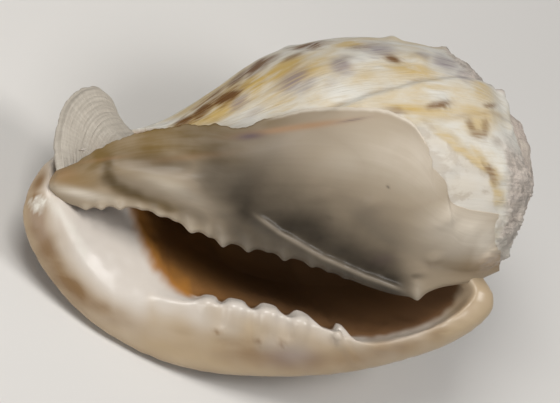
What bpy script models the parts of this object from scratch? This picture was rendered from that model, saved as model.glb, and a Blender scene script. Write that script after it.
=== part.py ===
"""Helmet shell, one solid: a coiled hollow shell whose last whorl ends in a thick outer lip, with a
callus shield over the near side and a short recurved canal at the narrow end.

The shapes are written in a drawing frame in millimetres: X along the shell toward the apex, Y across
it away from the lip, Z out of the opening. At the end the shell is turned to the way it lies at rest.
"""
from math import cos
from math import pi
from math import radians
from math import sin

import bmesh
import bpy
import numpy as np
from mathutils import Matrix
from mathutils import Vector
from mathutils.bvhtree import BVHTree

for old in list(bpy.data.objects):
    bpy.data.objects.remove(old, do_unlink=True)

MM = 0.001

# Coiling: every point of the whorl swings round the axis and grows by GROWTH each full turn.
APEX = np.array([93.0, 5.6, -39.0])
AXIS_AWAY = radians(23.0)
AXIS_DOWN = radians(6.3)
AXIS = np.array([
    cos(AXIS_AWAY) * cos(AXIS_DOWN),
    -cos(AXIS_AWAY) * sin(AXIS_DOWN),
    -sin(AXIS_AWAY),
])
ACROSS = np.array([sin(AXIS_DOWN), cos(AXIS_DOWN), 0.0])
OUTWARD = np.cross(AXIS, ACROSS)
GROWTH = 1.60
LIP_ANGLE = radians(-200.0)
WALL = 3.2
FIRST_TURN = -6.0
PLUG_TURN = -1.30
SHEET_TURN = -1.45
LIP_TURN = -0.15
VARIX_TURN = -0.645

# Half section of a whorl as share, radius, distance from the apex, at full growth. The old whorls
# have a high shoulder. After the varix the shoulder drops.
OLD_SECTION = np.array([
    (0.00, 35.5, 23.5),
    (0.064, 44.5, 25.0),
    (0.122, 52.5, 30.5),
    (0.205, 59.0, 44.0),
    (0.312, 61.5, 68.0),
    (0.43, 59.5, 96.0),
    (0.60, 48.5, 132.0),
    (0.72, 34.5, 152.0),
    (0.80, 23.0, 166.0),
    (0.90, 12.5, 181.0),
    (1.00, 7.5, 192.0),
])
LAST_SECTION = np.array([
    (0.00, 37.5, 28.5),
    (0.064, 41.0, 31.5),
    (0.122, 46.5, 38.5),
    (0.205, 57.5, 54.0),
    (0.312, 61.0, 76.0),
    (0.43, 60.0, 98.0),
    (0.60, 49.0, 132.0),
    (0.72, 34.5, 152.0),
    (0.80, 23.0, 166.0),
    (0.90, 12.5, 181.0),
    (1.00, 7.5, 192.0),
])
# Spiral rows of knobs: share of the section, half width, height.
KNOBS_PER_TURN = 13
KNOB_ROWS = (
    (0.125, 0.022, 2.8),
    (0.21, 0.020, 1.4),
    (0.345, 0.022, 1.8),
    (0.53, 0.025, 1.3),
)
VARIX_HEIGHT = 2.6
# Two larger knobs on the shoulder: turn, share, their half widths, height.
SHOULDER_KNOBS = (
    (-0.662, 0.115, 0.020, 0.030, 3.2),
    (-0.805, 0.075, 0.020, 0.032, 3.2),
)

# The lip, as guide curves along it: share, X, Y, Z.
LIP_EDGE = np.array([
    (0.00, 69.0, -22.0, -16.0),
    (0.04, 76.8, -33.0, -15.0),
    (0.09, 75.3, -41.5, -14.0),
    (0.17, 62.5, -50.8, -11.0),
    (0.28, 42.0, -57.8, -5.0),
    (0.38, 22.0, -61.7, 0.0),
    (0.47, 0.0, -62.6, 4.0),
    (0.57, -24.2, -61.2, 9.0),
    (0.66, -44.5, -56.0, 14.0),
    (0.74, -63.8, -45.6, 20.0),
    (0.80, -77.3, -33.2, 25.0),
    (0.86, -87.6, -18.0, 30.0),
    (0.90, -91.2, -6.3, 32.0),
    (0.94, -89.4, 4.0, 31.0),
    (0.97, -85.0, 11.8, 26.0),
    (1.00, -80.0, 17.0, 15.0),
])
LIP_CREST = np.array([
    (0.00, 66.0, -24.0, -11.0),
    (0.04, 71.0, -32.0, -9.0),
    (0.09, 66.5, -39.0, -7.0),
    (0.17, 55.0, -46.0, -2.0),
    (0.28, 34.0, -51.5, 5.0),
    (0.38, 16.0, -46.5, 10.0),
    (0.47, -0.5, -42.0, 14.0),
    (0.57, -22.0, -38.2, 18.0),
    (0.66, -43.0, -36.8, 21.0),
    (0.74, -59.0, -33.0, 25.0),
    (0.80, -69.0, -22.0, 29.0),
    (0.86, -75.5, -10.0, 33.0),
    (0.90, -79.5, 0.0, 34.0),
    (0.94, -82.0, 6.0, 32.0),
    (0.97, -81.5, 12.0, 27.0),
    (1.00, -78.5, 18.0, 16.0),
])
LIP_INNER = np.array([
    (0.00, 60.0, -25.0, -14.0),
    (0.04, 64.0, -32.0, -14.0),
    (0.09, 60.0, -38.0, -13.0),
    (0.17, 48.0, -45.0, -9.0),
    (0.28, 28.0, -47.6, -1.0),
    (0.38, 11.0, -40.5, 5.0),
    (0.47, -2.0, -37.2, 9.0),
    (0.57, -21.0, -33.0, 13.0),
    (0.66, -37.0, -28.0, 14.0),
    (0.74, -47.0, -18.0, 13.0),
    (0.80, -54.0, -8.0, 13.0),
    (0.86, -62.0, 0.0, 15.0),
    (0.90, -69.0, 4.0, 18.0),
    (0.94, -75.0, 7.0, 20.0),
    (0.97, -76.5, 12.0, 19.0),
    (1.00, -76.0, 17.0, 13.0),
])
LIP_BACK = np.array([
    (0.00, 64.0, -20.0, -24.0),
    (0.04, 67.0, -30.0, -26.0),
    (0.09, 66.0, -37.0, -25.0),
    (0.17, 56.0, -45.0, -21.0),
    (0.28, 38.0, -51.0, -15.0),
    (0.38, 20.0, -54.0, -11.0),
    (0.47, 0.0, -54.0, -7.0),
    (0.57, -22.0, -51.0, -3.0),
    (0.66, -40.5, -44.5, 1.0),
    (0.74, -56.5, -35.0, 6.0),
    (0.80, -68.5, -23.5, 12.0),
    (0.86, -79.0, -10.0, 18.0),
    (0.90, -84.0, -1.0, 21.0),
    (0.94, -84.0, 7.0, 20.0),
    (0.97, -81.5, 13.0, 17.0),
    (1.00, -78.0, 18.0, 9.0),
])
# Teeth on the inner edge of the lip: X, half width, height.
LIP_TEETH = (
    (-26.6, 2.8, 1.6),
    (-16.9, 3.4, 3.0),
    (-4.9, 3.4, 3.2),
    (6.5, 2.9, 2.8),
    (20.2, 1.4, 2.4),
)

# The shield: its edge away from the lip, its toothed edge, and the heights between, by share.
SHIELD_TOP = np.array([
    (0.00, -79.5, 11.0, 33.0),
    (0.05, -71.0, 14.5, 34.0),
    (0.12, -61.5, 20.5, 34.0),
    (0.20, -50.0, 24.3, 32.0),
    (0.28, -36.0, 26.8, 30.0),
    (0.36, -23.7, 27.5, 28.0),
    (0.42, -14.0, 26.3, 27.0),
    (0.48, -3.0, 30.0, 26.0),
    (0.55, 9.8, 33.0, 24.0),
    (0.62, 22.0, 33.6, 19.0),
    (0.70, 36.0, 33.0, 12.0),
    (0.76, 45.0, 29.5, 9.0),
    (0.82, 52.0, 21.0, 7.0),
    (0.88, 54.5, 11.0, 6.0),
    (0.93, 60.0, -1.0, 2.0),
    (1.00, 79.6, -3.4, -14.0),
])
SHIELD_TEETH_EDGE = np.array([
    (0.00, -78.5, 0.5, 32.0),
    (0.05, -71.0, -2.0, 31.0),
    (0.12, -61.0, -1.8, 30.0),
    (0.20, -49.0, -2.7, 29.0),
    (0.28, -38.0, -6.5, 27.0),
    (0.36, -27.0, -11.5, 25.0),
    (0.42, -17.0, -15.0, 23.0),
    (0.48, -6.0, -17.5, 20.0),
    (0.55, 7.0, -21.0, 17.0),
    (0.62, 20.0, -26.0, 13.0),
    (0.70, 33.0, -31.0, 9.0),
    (0.76, 42.0, -33.6, 5.0),
    (0.82, 49.5, -34.0, 1.0),
    (0.88, 58.0, -31.0, -4.0),
    (0.94, 70.0, -29.0, -11.0),
    (1.00, 79.6, -25.2, -18.0),
])
SHIELD_HEIGHTS = np.array([
    (0.00, 36.0, 35.0),
    (0.12, 36.0, 34.0),
    (0.20, 35.5, 33.5),
    (0.28, 34.0, 32.5),
    (0.36, 33.0, 31.0),
    (0.42, 32.5, 30.0),
    (0.48, 32.0, 28.0),
    (0.55, 30.0, 25.5),
    (0.62, 26.0, 22.0),
    (0.70, 20.0, 17.0),
    (0.76, 16.0, 12.5),
    (0.82, 12.0, 8.0),
    (0.88, 9.0, 3.0),
    (0.94, 4.0, -6.0),
    (1.00, -12.0, -15.0),
])
# Teeth on the shield: X and height.
SHIELD_TEETH = (
    (-69.0, 1.2),
    (-63.5, 1.4),
    (-57.0, 1.4),
    (-43.0, 0.9),
    (-32.0, 1.9),
    (-20.5, 2.6),
    (-11.5, 2.0),
    (1.4, 1.9),
    (11.0, 1.0),
    (49.5, 1.6),
)
SHIELD_RIDGE = np.array([(-11.0, -3.3), (-0.5, -11.0), (15.0, -20.0), (30.3, -26.8), (47.0, -33.0)])
SHIELD_FOLD = np.array([(-59.0, 10.5), (-46.8, 8.5), (-29.0, 4.0), (-12.0, -5.0)])
SHIELD_GROOVE = np.array([(-61.0, 6.0), (-54.0, 2.2), (-44.0, 0.5), (-32.0, -4.0)])

# The canal, a trough from its neck behind the shield to its rim, both as rings open toward -X.
CANAL_RIM = np.array([
    (-78.5, 6.0, 33.0),
    (-79.8, 12.0, 31.5),
    (-80.6, 21.0, 27.0),
    (-78.0, 33.0, 19.0),
    (-72.5, 39.3, 12.0),
    (-67.0, 40.6, 8.0),
    (-62.8, 37.0, 5.0),
    (-62.0, 30.5, 2.0),
    (-64.0, 26.0, -3.0),
    (-70.0, 24.0, -4.0),
    (-76.5, 20.5, 2.0),
    (-81.5, 15.0, 10.0),
])
CANAL_NECK = np.array([
    (-64.0, 4.0, 32.0),
    (-63.0, 8.0, 33.0),
    (-61.0, 12.0, 33.0),
    (-58.0, 16.0, 31.0),
    (-56.0, 19.0, 28.0),
    (-54.5, 20.5, 24.5),
    (-52.0, 21.0, 20.0),
    (-51.0, 18.5, 14.0),
    (-54.0, 14.0, 10.0),
    (-59.0, 9.0, 9.0),
    (-65.0, 6.0, 11.0),
    (-71.0, 6.0, 16.0),
])
CANAL_WALL = 2.6

# The pillar under the shield, and the thick end of the fold round the canal: X, Y, Z and radius.
PILLAR = np.array([
    (-2.0, 9.0, -4.0, 11.0),
    (-25.0, 12.5, 9.0, 9.5),
    (-40.0, 13.0, 17.0, 9.5),
    (-52.0, 13.5, 22.0, 9.5),
    (-63.0, 13.0, 25.0, 7.0),
])
FOLD_END = np.array([
    (-44.0, 14.0, 12.0, 8.0),
    (-52.0, 13.0, 12.0, 10.0),
    (-60.0, 11.0, 12.0, 11.0),
    (-68.0, 10.0, 14.0, 9.5),
    (-75.0, 10.0, 18.0, 5.0),
])

VOXEL = 1.0
SOLID_TRIANGLES = 9600
# The way the shell lies at rest: the drawing frame's direction that points up, the one that the
# length follows, and the shift that puts the origin under the middle of its box.
REST_UP = Vector((0.5147, 0.4938, 0.7010)).normalized()
REST_LENGTH = Vector((1.0, 0.0, 0.0))
REST_SHIFT = Vector((-1.304, -6.316, 43.818))


def spline(knots, values, x):
    """Cubic curve through the values at the knots."""
    x = np.clip(np.asarray(x, float), knots[0], knots[-1])
    slope = np.empty_like(values)
    slope[1:-1] = ((values[2:] - values[:-2]).T / (knots[2:] - knots[:-2])).T
    slope[0] = (values[1] - values[0]) / (knots[1] - knots[0])
    slope[-1] = (values[-1] - values[-2]) / (knots[-1] - knots[-2])
    i = np.clip(np.searchsorted(knots, x, side="right") - 1, 0, len(knots) - 2)
    width = (knots[i + 1] - knots[i])[..., None]
    u = (x - knots[i])[..., None] / width
    start = (2 * u**3 - 3 * u**2 + 1) * values[i] + (u**3 - 2 * u**2 + u) * width * slope[i]
    end = (3 * u**2 - 2 * u**3) * values[i + 1] + (u**3 - u**2) * width * slope[i + 1]
    return start + end


def guide(table, x):
    return spline(table[:, 0], table[:, 1:], x)


def ramp(low, high, x):
    u = np.clip((np.asarray(x, float) - low) / (high - low), 0.0, 1.0)
    return u * u * (3.0 - 2.0 * u)


def hump(x, centre, width):
    return np.exp(-(((np.asarray(x, float) - centre) / width) ** 2))


def relief(turn, share):
    """Height of the knobs and the varix over the smooth whorl."""
    height = np.zeros(turn.shape)
    for row, width, high in KNOB_ROWS:
        beat = np.cos(pi * KNOBS_PER_TURN * (turn + 0.02 + 0.25 * (share - row))) ** 6
        height += high * hump(share, row, width) * beat
    for knob_turn, row, length, width, high in SHOULDER_KNOBS:
        height += high * hump(turn, knob_turn, length) * hump(share, row, width)
    past = turn - VARIX_TURN + 0.15 * np.clip(share - 0.12, 0.0, 1.0)
    step = ramp(-0.075, 0.0, past) * (1.0 - ramp(0.0, 0.012, past))
    return height + VARIX_HEIGHT * step * ramp(0.0, 0.1, share) * (1.0 - ramp(0.75, 0.95, share))


def section(turn, share):
    last = ramp(-0.195, -0.005, turn - VARIX_TURN)[..., None]
    return guide(OLD_SECTION, share) * (1.0 - last) + guide(LAST_SECTION, share) * last


def around(turn, radius, depth):
    """Points at a radius from the axis and a depth from the apex, both at full growth."""
    angle = (LIP_ANGLE - 2.0 * pi * turn)[..., None]
    grown = GROWTH ** turn
    spoke = np.cos(angle) * ACROSS + np.sin(angle) * OUTWARD
    return APEX - (depth * grown)[..., None] * AXIS + (radius * grown)[..., None] * spoke


def whorl(turn, share, lift=0.0):
    """Points of the whorl, lifted by millimetres off its surface."""
    turn, share = np.broadcast_arrays(np.asarray(turn, float), np.asarray(share, float))
    here = section(turn, share)
    tangent = section(turn, np.minimum(share + 0.001, 1.0)) - section(turn, np.maximum(share - 0.001, 0.0))
    tangent /= np.maximum(np.linalg.norm(tangent, axis=-1, keepdims=True), 1e-9)
    grown = GROWTH ** turn
    off = relief(turn, share) + lift / grown
    return around(turn, here[..., 0] + tangent[..., 1] * off, here[..., 1] - tangent[..., 0] * off)


def lip(share, steps):
    """Rows of points round the lip, from the outside of the whorl to its inside."""
    rows = [whorl(LIP_TURN - 0.04, share), whorl(LIP_TURN, share)]
    rows += [guide(table, share) for table in (LIP_BACK, LIP_EDGE, LIP_CREST, LIP_INNER)]
    rows += [whorl(LIP_TURN, share, -WALL), whorl(LIP_TURN - 0.04, share, -WALL)]
    rows = np.array(rows)
    for x, width, high in LIP_TEETH:
        tooth = high * hump(rows[5][:, 0], x, width)
        rows[5][:, 1] += tooth
        rows[5][:, 2] += 0.6 * tooth
        rows[4][:, 2] += 0.35 * tooth
    gaps = np.linalg.norm(np.diff(rows, axis=0), axis=2)
    columns = []
    for j in range(len(share)):
        knots = np.concatenate([[0.0], np.cumsum(np.sqrt(np.maximum(gaps[:, j], 0.5)))])
        columns.append(spline(knots, rows[:, j], np.linspace(knots[1], knots[-2], steps)))
    return np.array(columns).transpose(1, 0, 2)


def from_line(line, x, y):
    """Share along a line of points and signed distance from it."""
    nearest = np.full(x.shape, 1e9)
    side = np.zeros(x.shape)
    share = np.zeros(x.shape)
    for i in range(len(line) - 1):
        start = line[i]
        run = line[i + 1] - start
        u = np.clip(((x - start[0]) * run[0] + (y - start[1]) * run[1]) / (run @ run), 0.0, 1.0)
        dx = x - start[0] - u * run[0]
        dy = y - start[1] - u * run[1]
        distance = np.hypot(dx, dy)
        closer = distance < nearest
        nearest = np.where(closer, distance, nearest)
        side = np.where(closer, np.sign(run[0] * dy - run[1] * dx) * distance, side)
        share = np.where(closer, (i + u) / (len(line) - 1), share)
    return share, side


def sheet_faces(rows, columns):
    """Quads of a grid whose rows close into rings, with flat strips over the two end rings."""
    faces = []
    for i in range(rows - 1):
        for j in range(columns):
            k = (j + 1) % columns
            faces.append((i * columns + j, i * columns + k, (i + 1) * columns + k, (i + 1) * columns + j))
    last = (rows - 1) * columns
    for j in range(columns // 2 - 1):
        mirror = columns - 1 - j
        faces.append((j, mirror, mirror - 1, j + 1))
        faces.append((last + j, last + j + 1, last + mirror - 1, last + mirror))
    return faces


def add_solid(name, rings):
    """A closed solid from rings of points, each ring an even number of points."""
    rows, columns = rings.shape[:2]
    mesh = bpy.data.meshes.new(name)
    mesh.from_pydata((rings.reshape(-1, 3) * MM).tolist(), [], sheet_faces(rows, columns))
    body = bmesh.new()
    body.from_mesh(mesh)
    bmesh.ops.recalc_face_normals(body, faces=body.faces)
    body.to_mesh(mesh)
    body.free()
    made = bpy.data.objects.new(name, mesh)
    collection.objects.link(made)
    return made


collection = bpy.data.collections.new("helmet_shell")
bpy.context.scene.collection.children.link(collection)

# Last whorl: its outside, the lip and its inside, one ring for each share of the section.
share = np.linspace(0.0, 1.0, 130)
turn = np.linspace(SHEET_TURN, LIP_TURN, 130)
outside = whorl(turn[:, None], share[None, :])
inside = whorl(turn[:, None], share[None, :], -WALL)
rings = np.concatenate([outside[:-1], lip(share, 32), inside[::-1][1:]])
pieces = [add_solid("last_whorl", rings.transpose(1, 0, 2))]

# Spire and inner whorls: the section closed to the axis and swept round, rounded off at its end.
turn = np.linspace(FIRST_TURN, PLUG_TURN, 330)
share = np.linspace(0.0, 1.0, 60)
curve = whorl(turn[:, None], share[None, :])
axis_top = around(turn, np.zeros(turn.shape), np.full(turn.shape, 11.0))[:, None, :]
axis_end = around(turn, np.zeros(turn.shape), np.full(turn.shape, 198.0))[:, None, :]
rings = np.concatenate([axis_top, curve, axis_end], axis=1)
for step in range(10):
    middle = rings[-1 - step].mean(axis=0)
    fill = np.sqrt(1.0 - (1.0 - (step + 0.3) / 10.0) ** 2)
    rings[-1 - step] = middle + (rings[-1 - step] - middle) * fill
pieces.append(add_solid("spire", rings))

# Pillar on the axis that carries the shield, and the end of the fold.
angle = np.linspace(0.0, 2.0 * pi, 24, endpoint=False)
spokes = np.cos(angle)[:, None] * ACROSS + np.sin(angle)[:, None] * OUTWARD
for name, path in (("pillar", PILLAR), ("fold_end", FOLD_END)):
    middle = spline(np.linspace(0.0, 1.0, len(path)), path, np.linspace(0.0, 1.0, 24))
    pieces.append(add_solid(name, middle[:, None, :3] + middle[:, 3][:, None, None] * spokes[None]))

# Shield: free of the whorl toward the narrow end, laid on it as a callus toward the apex.
turn = np.linspace(-1.2, -0.5, 220)
share = np.linspace(0.0, 1.0, 200)
ground = whorl(turn[:, None], share[None, :])
quads = []
for i in range(len(turn) - 1):
    for j in range(len(share) - 1):
        corner = i * len(share) + j
        quads.append((corner, corner + 1, corner + len(share) + 1, corner + len(share)))
ground_tree = BVHTree.FromPolygons([Vector(p) for p in ground.reshape(-1, 3)], quads)
a, b = np.broadcast_arrays(np.linspace(0.0, 1.0, 130)[:, None], np.linspace(0.0, 1.0, 44)[None, :])
top = guide(SHIELD_TOP, a)
low = guide(SHIELD_TEETH_EDGE, a)
high = guide(SHIELD_HEIGHTS, a)
front = top * (1.0 - b[..., None]) + low * b[..., None]
front[..., 0] -= 3.0 * np.sin(pi * b) * (1.0 - ramp(0.0, 0.05, a))
for x, size in SHIELD_TEETH:
    tooth = size * hump(front[..., 0], x, 1.8)
    front[..., 1] -= tooth * ramp(0.88, 1.0, b)
levels = np.stack([top[..., 2], high[..., 0], high[..., 1], low[..., 2]], axis=-1)
stations = np.array([0.0, 0.3, 0.7, 1.0])
for i in range(a.shape[0]):
    front[i, :, 2] = spline(stations, levels[i, 0][:, None], b[i])[:, 0]
x, y = front[..., 0], front[..., 1]
for x_tooth, size in SHIELD_TEETH:
    front[..., 2] += 0.5 * size * hump(x, x_tooth, 1.8) * ramp(0.8, 0.97, b)
reach, side = from_line(SHIELD_RIDGE, x, y)
crest = np.where(side > 0.0, hump(side, 0.0, 1.2), hump(side, 0.0, 3.5))
front[..., 2] += 1.8 * crest * ramp(0.0, 0.2, reach) * (1.0 - ramp(0.85, 1.0, reach))
reach, side = from_line(SHIELD_FOLD, x, y)
front[..., 2] += 2.4 * hump(side, 0.0, 3.2) * (1.0 - ramp(0.5, 1.0, reach))
reach, side = from_line(SHIELD_GROOVE, x, y)
front[..., 2] -= 2.2 * hump(side, 0.0, 2.4) * (1.0 - ramp(0.5, 1.0, reach))
callus = 1.3 + 1.0 * ramp(0.0, 0.12, b)
root = ramp(0.06, 0.3, b) * (1.0 - ramp(0.62, 0.9, b))
thick = 1.6 + 1.4 * ramp(0.6, 1.0, b) + 12.0 * root
for i in range(a.shape[0]):
    for j in range(a.shape[1]):
        hit = ground_tree.ray_cast(Vector((x[i, j], y[i, j], 200.0)), Vector((0.0, 0.0, -1.0)))[0]
        if hit is not None:
            free = front[i, j, 2]
            laid = hit.z + callus[i, j]
            front[i, j, 2] = 0.5 * (free + laid + np.hypot(free - laid, 1.5))
            gap = front[i, j, 2] - hit.z + 1.0
            thick[i, j] += max(gap - thick[i, j], 0.0) * min(2.0 * root[i, j], 1.0)
back = front.copy()
back[..., 2] -= thick
pieces.append(add_solid("shield", np.concatenate([front, back[:, ::-1]], axis=1)))

# Canal.
at = np.linspace(0.0, 1.0, 60)
rim = spline(np.linspace(0.0, 1.0, len(CANAL_RIM)), CANAL_RIM, at)
neck = spline(np.linspace(0.0, 1.0, len(CANAL_NECK)), CANAL_NECK, at)
out = np.linspace(0.0, 1.0, 28)[None, :, None]
trough = neck[:, None, :] * (1.0 - out) + rim[:, None, :] * out
middle = neck.mean(axis=0) * (1.0 - out) + rim.mean(axis=0) * out
trough = trough + (middle - trough) * 0.16 * np.sin(pi * out)
normal = np.cross(np.gradient(trough, axis=1), np.gradient(trough, axis=0))
normal /= np.linalg.norm(normal, axis=-1, keepdims=True)
pieces.append(add_solid("canal", np.concatenate([trough, (trough - normal * CANAL_WALL)[:, ::-1]], axis=1)))

# One skin over all of them, eased and cut down to the faces a solid needs.
joined = bmesh.new()
for piece in pieces:
    joined.from_mesh(piece.data)
    bpy.data.objects.remove(piece, do_unlink=True)
shell_mesh = bpy.data.meshes.new("helmet_shell")
joined.to_mesh(shell_mesh)
joined.free()
shell = bpy.data.objects.new("helmet_shell", shell_mesh)
collection.objects.link(shell)


def settle(thing):
    """Make the mesh what its modifiers show, and take them off."""
    shown = thing.evaluated_get(bpy.context.evaluated_depsgraph_get())
    finished = bpy.data.meshes.new_from_object(shown)
    thing.modifiers.clear()
    thing.data = finished


def keep_largest(mesh):
    """Drop the crumbs the skin leaves where two surfaces only touch."""
    body = bmesh.new()
    body.from_mesh(mesh)
    left = set(body.verts)
    groups = []
    while left:
        group = {left.pop()}
        front_line = list(group)
        while front_line:
            vert = front_line.pop()
            for edge in vert.link_edges:
                other = edge.other_vert(vert)
                if other in left:
                    left.remove(other)
                    group.add(other)
                    front_line.append(other)
        groups.append(group)
    groups.sort(key=len)
    crumbs = [vert for group in groups[:-1] for vert in group]
    bmesh.ops.delete(body, geom=crumbs, context="VERTS")
    body.to_mesh(mesh)
    body.free()


skin = shell.modifiers.new("Skin", "REMESH")
skin.mode = "VOXEL"
skin.voxel_size = VOXEL * MM
ease = shell.modifiers.new("Ease", "SMOOTH")
ease.factor = 0.5
ease.iterations = 1
settle(shell)
keep_largest(shell.data)
thin = shell.modifiers.new("Thin", "DECIMATE")
thin.ratio = SOLID_TRIANGLES / (2.0 * len(shell.data.polygons))
settle(shell)

# Lay it down on its back.
along = (REST_LENGTH - REST_UP * REST_LENGTH.dot(REST_UP)).normalized()
shell.data.transform(Matrix((along, REST_UP.cross(along), REST_UP)).to_4x4())
shell.data.transform(Matrix.Translation(REST_SHIFT * MM))
shell.data.shade_smooth()

material = bpy.data.materials.new("shell")
material.use_nodes = True
surface = material.node_tree.nodes["Principled BSDF"]
surface.inputs["Base Color"].default_value = (0.66, 0.54, 0.40, 1.0)
surface.inputs["Roughness"].default_value = 0.35
surface.inputs["Metallic"].default_value = 0.0
shell.data.materials.append(material)
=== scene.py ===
# A helmet shell lying on its back on a pale floor, seen from above its opening.
from math import cos, pi, radians, sin

import bmesh
import bpy
import numpy as np
from mathutils import Matrix, Vector
from mathutils.bvhtree import BVHTree


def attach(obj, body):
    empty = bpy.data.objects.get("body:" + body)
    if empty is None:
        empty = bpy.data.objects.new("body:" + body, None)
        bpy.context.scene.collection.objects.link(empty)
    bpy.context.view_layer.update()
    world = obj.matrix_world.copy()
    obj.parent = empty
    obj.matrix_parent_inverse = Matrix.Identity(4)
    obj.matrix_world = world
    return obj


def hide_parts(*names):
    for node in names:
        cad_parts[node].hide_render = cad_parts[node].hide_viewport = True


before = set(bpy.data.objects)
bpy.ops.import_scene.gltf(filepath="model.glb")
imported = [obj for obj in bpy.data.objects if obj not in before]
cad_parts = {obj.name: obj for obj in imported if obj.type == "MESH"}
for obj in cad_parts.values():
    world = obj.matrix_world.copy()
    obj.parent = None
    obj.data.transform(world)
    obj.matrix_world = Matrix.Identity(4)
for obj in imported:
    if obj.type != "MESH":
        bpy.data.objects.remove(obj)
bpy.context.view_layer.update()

# CAMERA
# The shell is drawn in millimetres as the photograph shows it: X to the right, Y up, Z toward the
# lens. It is then laid on the floor the way it comes to rest, and the camera turns with it.
REST_UP = Vector((0.5147, 0.4938, 0.7010)).normalized()
REST_LENGTH = Vector((1.0, 0.0, 0.0))
REST_SHIFT = Vector((-1.304, -6.316, 43.818))
MM = 0.001
CAMERA_AWAY = 2500.0
HALF_WIDTH = 100.8
SENSOR = 36.0
FARTHEST_SEEN = 20.0

along = (REST_LENGTH - REST_UP * REST_LENGTH.dot(REST_UP)).normalized()
rest = Matrix((along, REST_UP.cross(along), REST_UP))


def lay(points):
    """Drawn millimetres to metres on the floor."""
    return (np.asarray(points, float) @ np.array(rest).T + np.array(REST_SHIFT)) * MM


def put(name, data):
    """A new object at the origin of the scene."""
    made = bpy.data.objects.new(name, data)
    bpy.context.scene.collection.objects.link(made)
    return made


camera_data = bpy.data.cameras.new("camera")
camera_data.sensor_width = SENSOR
camera_data.lens = SENSOR * CAMERA_AWAY / (2.0 * HALF_WIDTH)
camera_data.clip_end = FARTHEST_SEEN
camera = put("camera", camera_data)
camera.matrix_world = Matrix.Translation(lay((0.0, 0.0, CAMERA_AWAY))) @ rest.to_4x4()
bpy.context.scene.camera = camera

# FLOOR AND LIGHT
# A matt pale sweep, one broad lamp from above the spire side, one soft lamp from the canal side
# and an even sky.
FLOOR_SIZE = 12.0
FLOOR_GREY = (0.72, 0.70, 0.67, 1.0)
FLOOR_ROUGHNESS = 0.75
SKY_BLUE = (0.93, 0.95, 1.0, 1.0)
SKY_STRENGTH = 0.13
# Each lamp: name, place in drawn millimetres, edge in metres, watts, tint.
LAMPS = (
    ("key", (120.0, 560.0, 720.0), 0.46, 5.0, (1.0, 0.985, 0.96)),
    ("right", (780.0, 120.0, 480.0), 0.36, 3.3, (1.0, 0.985, 0.97)),
    ("left", (-420.0, -160.0, 860.0), 0.50, 2.6, (1.0, 0.99, 0.97)),
)

floor_mesh = bpy.data.meshes.new("floor")
plane = bmesh.new()
bmesh.ops.create_grid(plane, x_segments=1, y_segments=1, size=FLOOR_SIZE / 2.0)
plane.to_mesh(floor_mesh)
plane.free()
floor = put("floor", floor_mesh)
floor_paint = bpy.data.materials.new("floor_paint")
floor_paint.use_nodes = True
floor_surface = floor_paint.node_tree.nodes["Principled BSDF"].inputs
floor_surface["Base Color"].default_value = FLOOR_GREY
floor_surface["Roughness"].default_value = FLOOR_ROUGHNESS
floor_mesh.materials.append(floor_paint)

for name, place, edge, watts, tint in LAMPS:
    lamp_data = bpy.data.lights.new(name, "AREA")
    lamp_data.size = edge
    lamp_data.energy = watts
    lamp_data.color = tint
    lamp = put(name, lamp_data)
    lamp.location = lay(place)
    aim = Vector(lay((0.0, 0.0, 0.0))) - lamp.location
    lamp.rotation_euler = aim.to_track_quat("-Z", "Y").to_euler()
sky = bpy.data.worlds.new("sky")
sky.use_nodes = True
sky.node_tree.nodes["Background"].inputs["Color"].default_value = SKY_BLUE
sky.node_tree.nodes["Background"].inputs["Strength"].default_value = SKY_STRENGTH
bpy.context.scene.world = sky
bpy.context.scene.view_settings.view_transform = "Standard"

# COILED WALLS
# The whorls follow one rule: a half section swings round a leaning axis and grows by a fixed
# share each turn, with rows of knobs and one raised growth ridge standing on it.
GROWTH = 1.60
APEX = np.array([93.0, 5.6, -39.0])
AXIS_AWAY = radians(23.0)
AXIS_DOWN = radians(6.3)
AXIS = np.array([
    cos(AXIS_AWAY) * cos(AXIS_DOWN), -cos(AXIS_AWAY) * sin(AXIS_DOWN), -sin(AXIS_AWAY),
])
ACROSS = np.array([sin(AXIS_DOWN), cos(AXIS_DOWN), 0.0])
OUTWARD = np.cross(AXIS, ACROSS)
LIP_ANGLE = radians(-200.0)
# The growth ridge: its turn at the top of the wall, the slopes before and after its crest in
# turns, and how far it leans back along the wall, from which share on.
VARIX_TURN = -0.645
VARIX_RISE = 0.075
VARIX_DROP = 0.010
VARIX_LEAN = 0.15
VARIX_LEAN_FROM = 0.12
# Knobs: number in a turn, how pointed they are, and the lean and start of their rows.
KNOBS_PER_TURN = 13
KNOB_POINT = 6.0
KNOB_LEAN = 0.25
KNOB_START = 0.02
# The section changes from the old one to the last one over these turns past the growth ridge.
SECTION_CHANGE = (-0.195, -0.005)
WIDEST = 80.0
LONGEST = 200.0
# Half section as share, radius and distance from the apex: on the old whorls, and on the last.
OLD_SECTION = (
    (0.00, 35.5, 23.5), (0.064, 44.5, 25), (0.122, 52.5, 30.5), (0.205, 59, 44), (0.312, 61.5, 68),
    (0.43, 59.5, 96), (0.60, 48.5, 132), (0.72, 34.5, 152), (0.80, 23, 166), (0.90, 12.5, 181),
    (1.00, 7.5, 192),
)
LAST_SECTION = (
    (0.00, 37.5, 28.5), (0.064, 41, 31.5), (0.122, 46.5, 38.5), (0.205, 57.5, 54), (0.312, 61, 76),
    (0.43, 60, 98), (0.60, 49, 132), (0.72, 34.5, 152), (0.80, 23, 166), (0.90, 12.5, 181),
    (1.00, 7.5, 192),
)
# Spiral rows of knobs: share, half width, share of the full knob height.
KNOB_ROWS = ((0.125, 0.022, 1.0), (0.21, 0.020, 0.5), (0.345, 0.022, 0.64), (0.53, 0.025, 0.46))
# Two larger knobs above them: turn, share, their half widths, height.
SHOULDER_KNOBS = ((-0.662, 0.115, 0.020, 0.030, 3.2), (-0.805, 0.075, 0.020, 0.032, 3.2))

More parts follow.
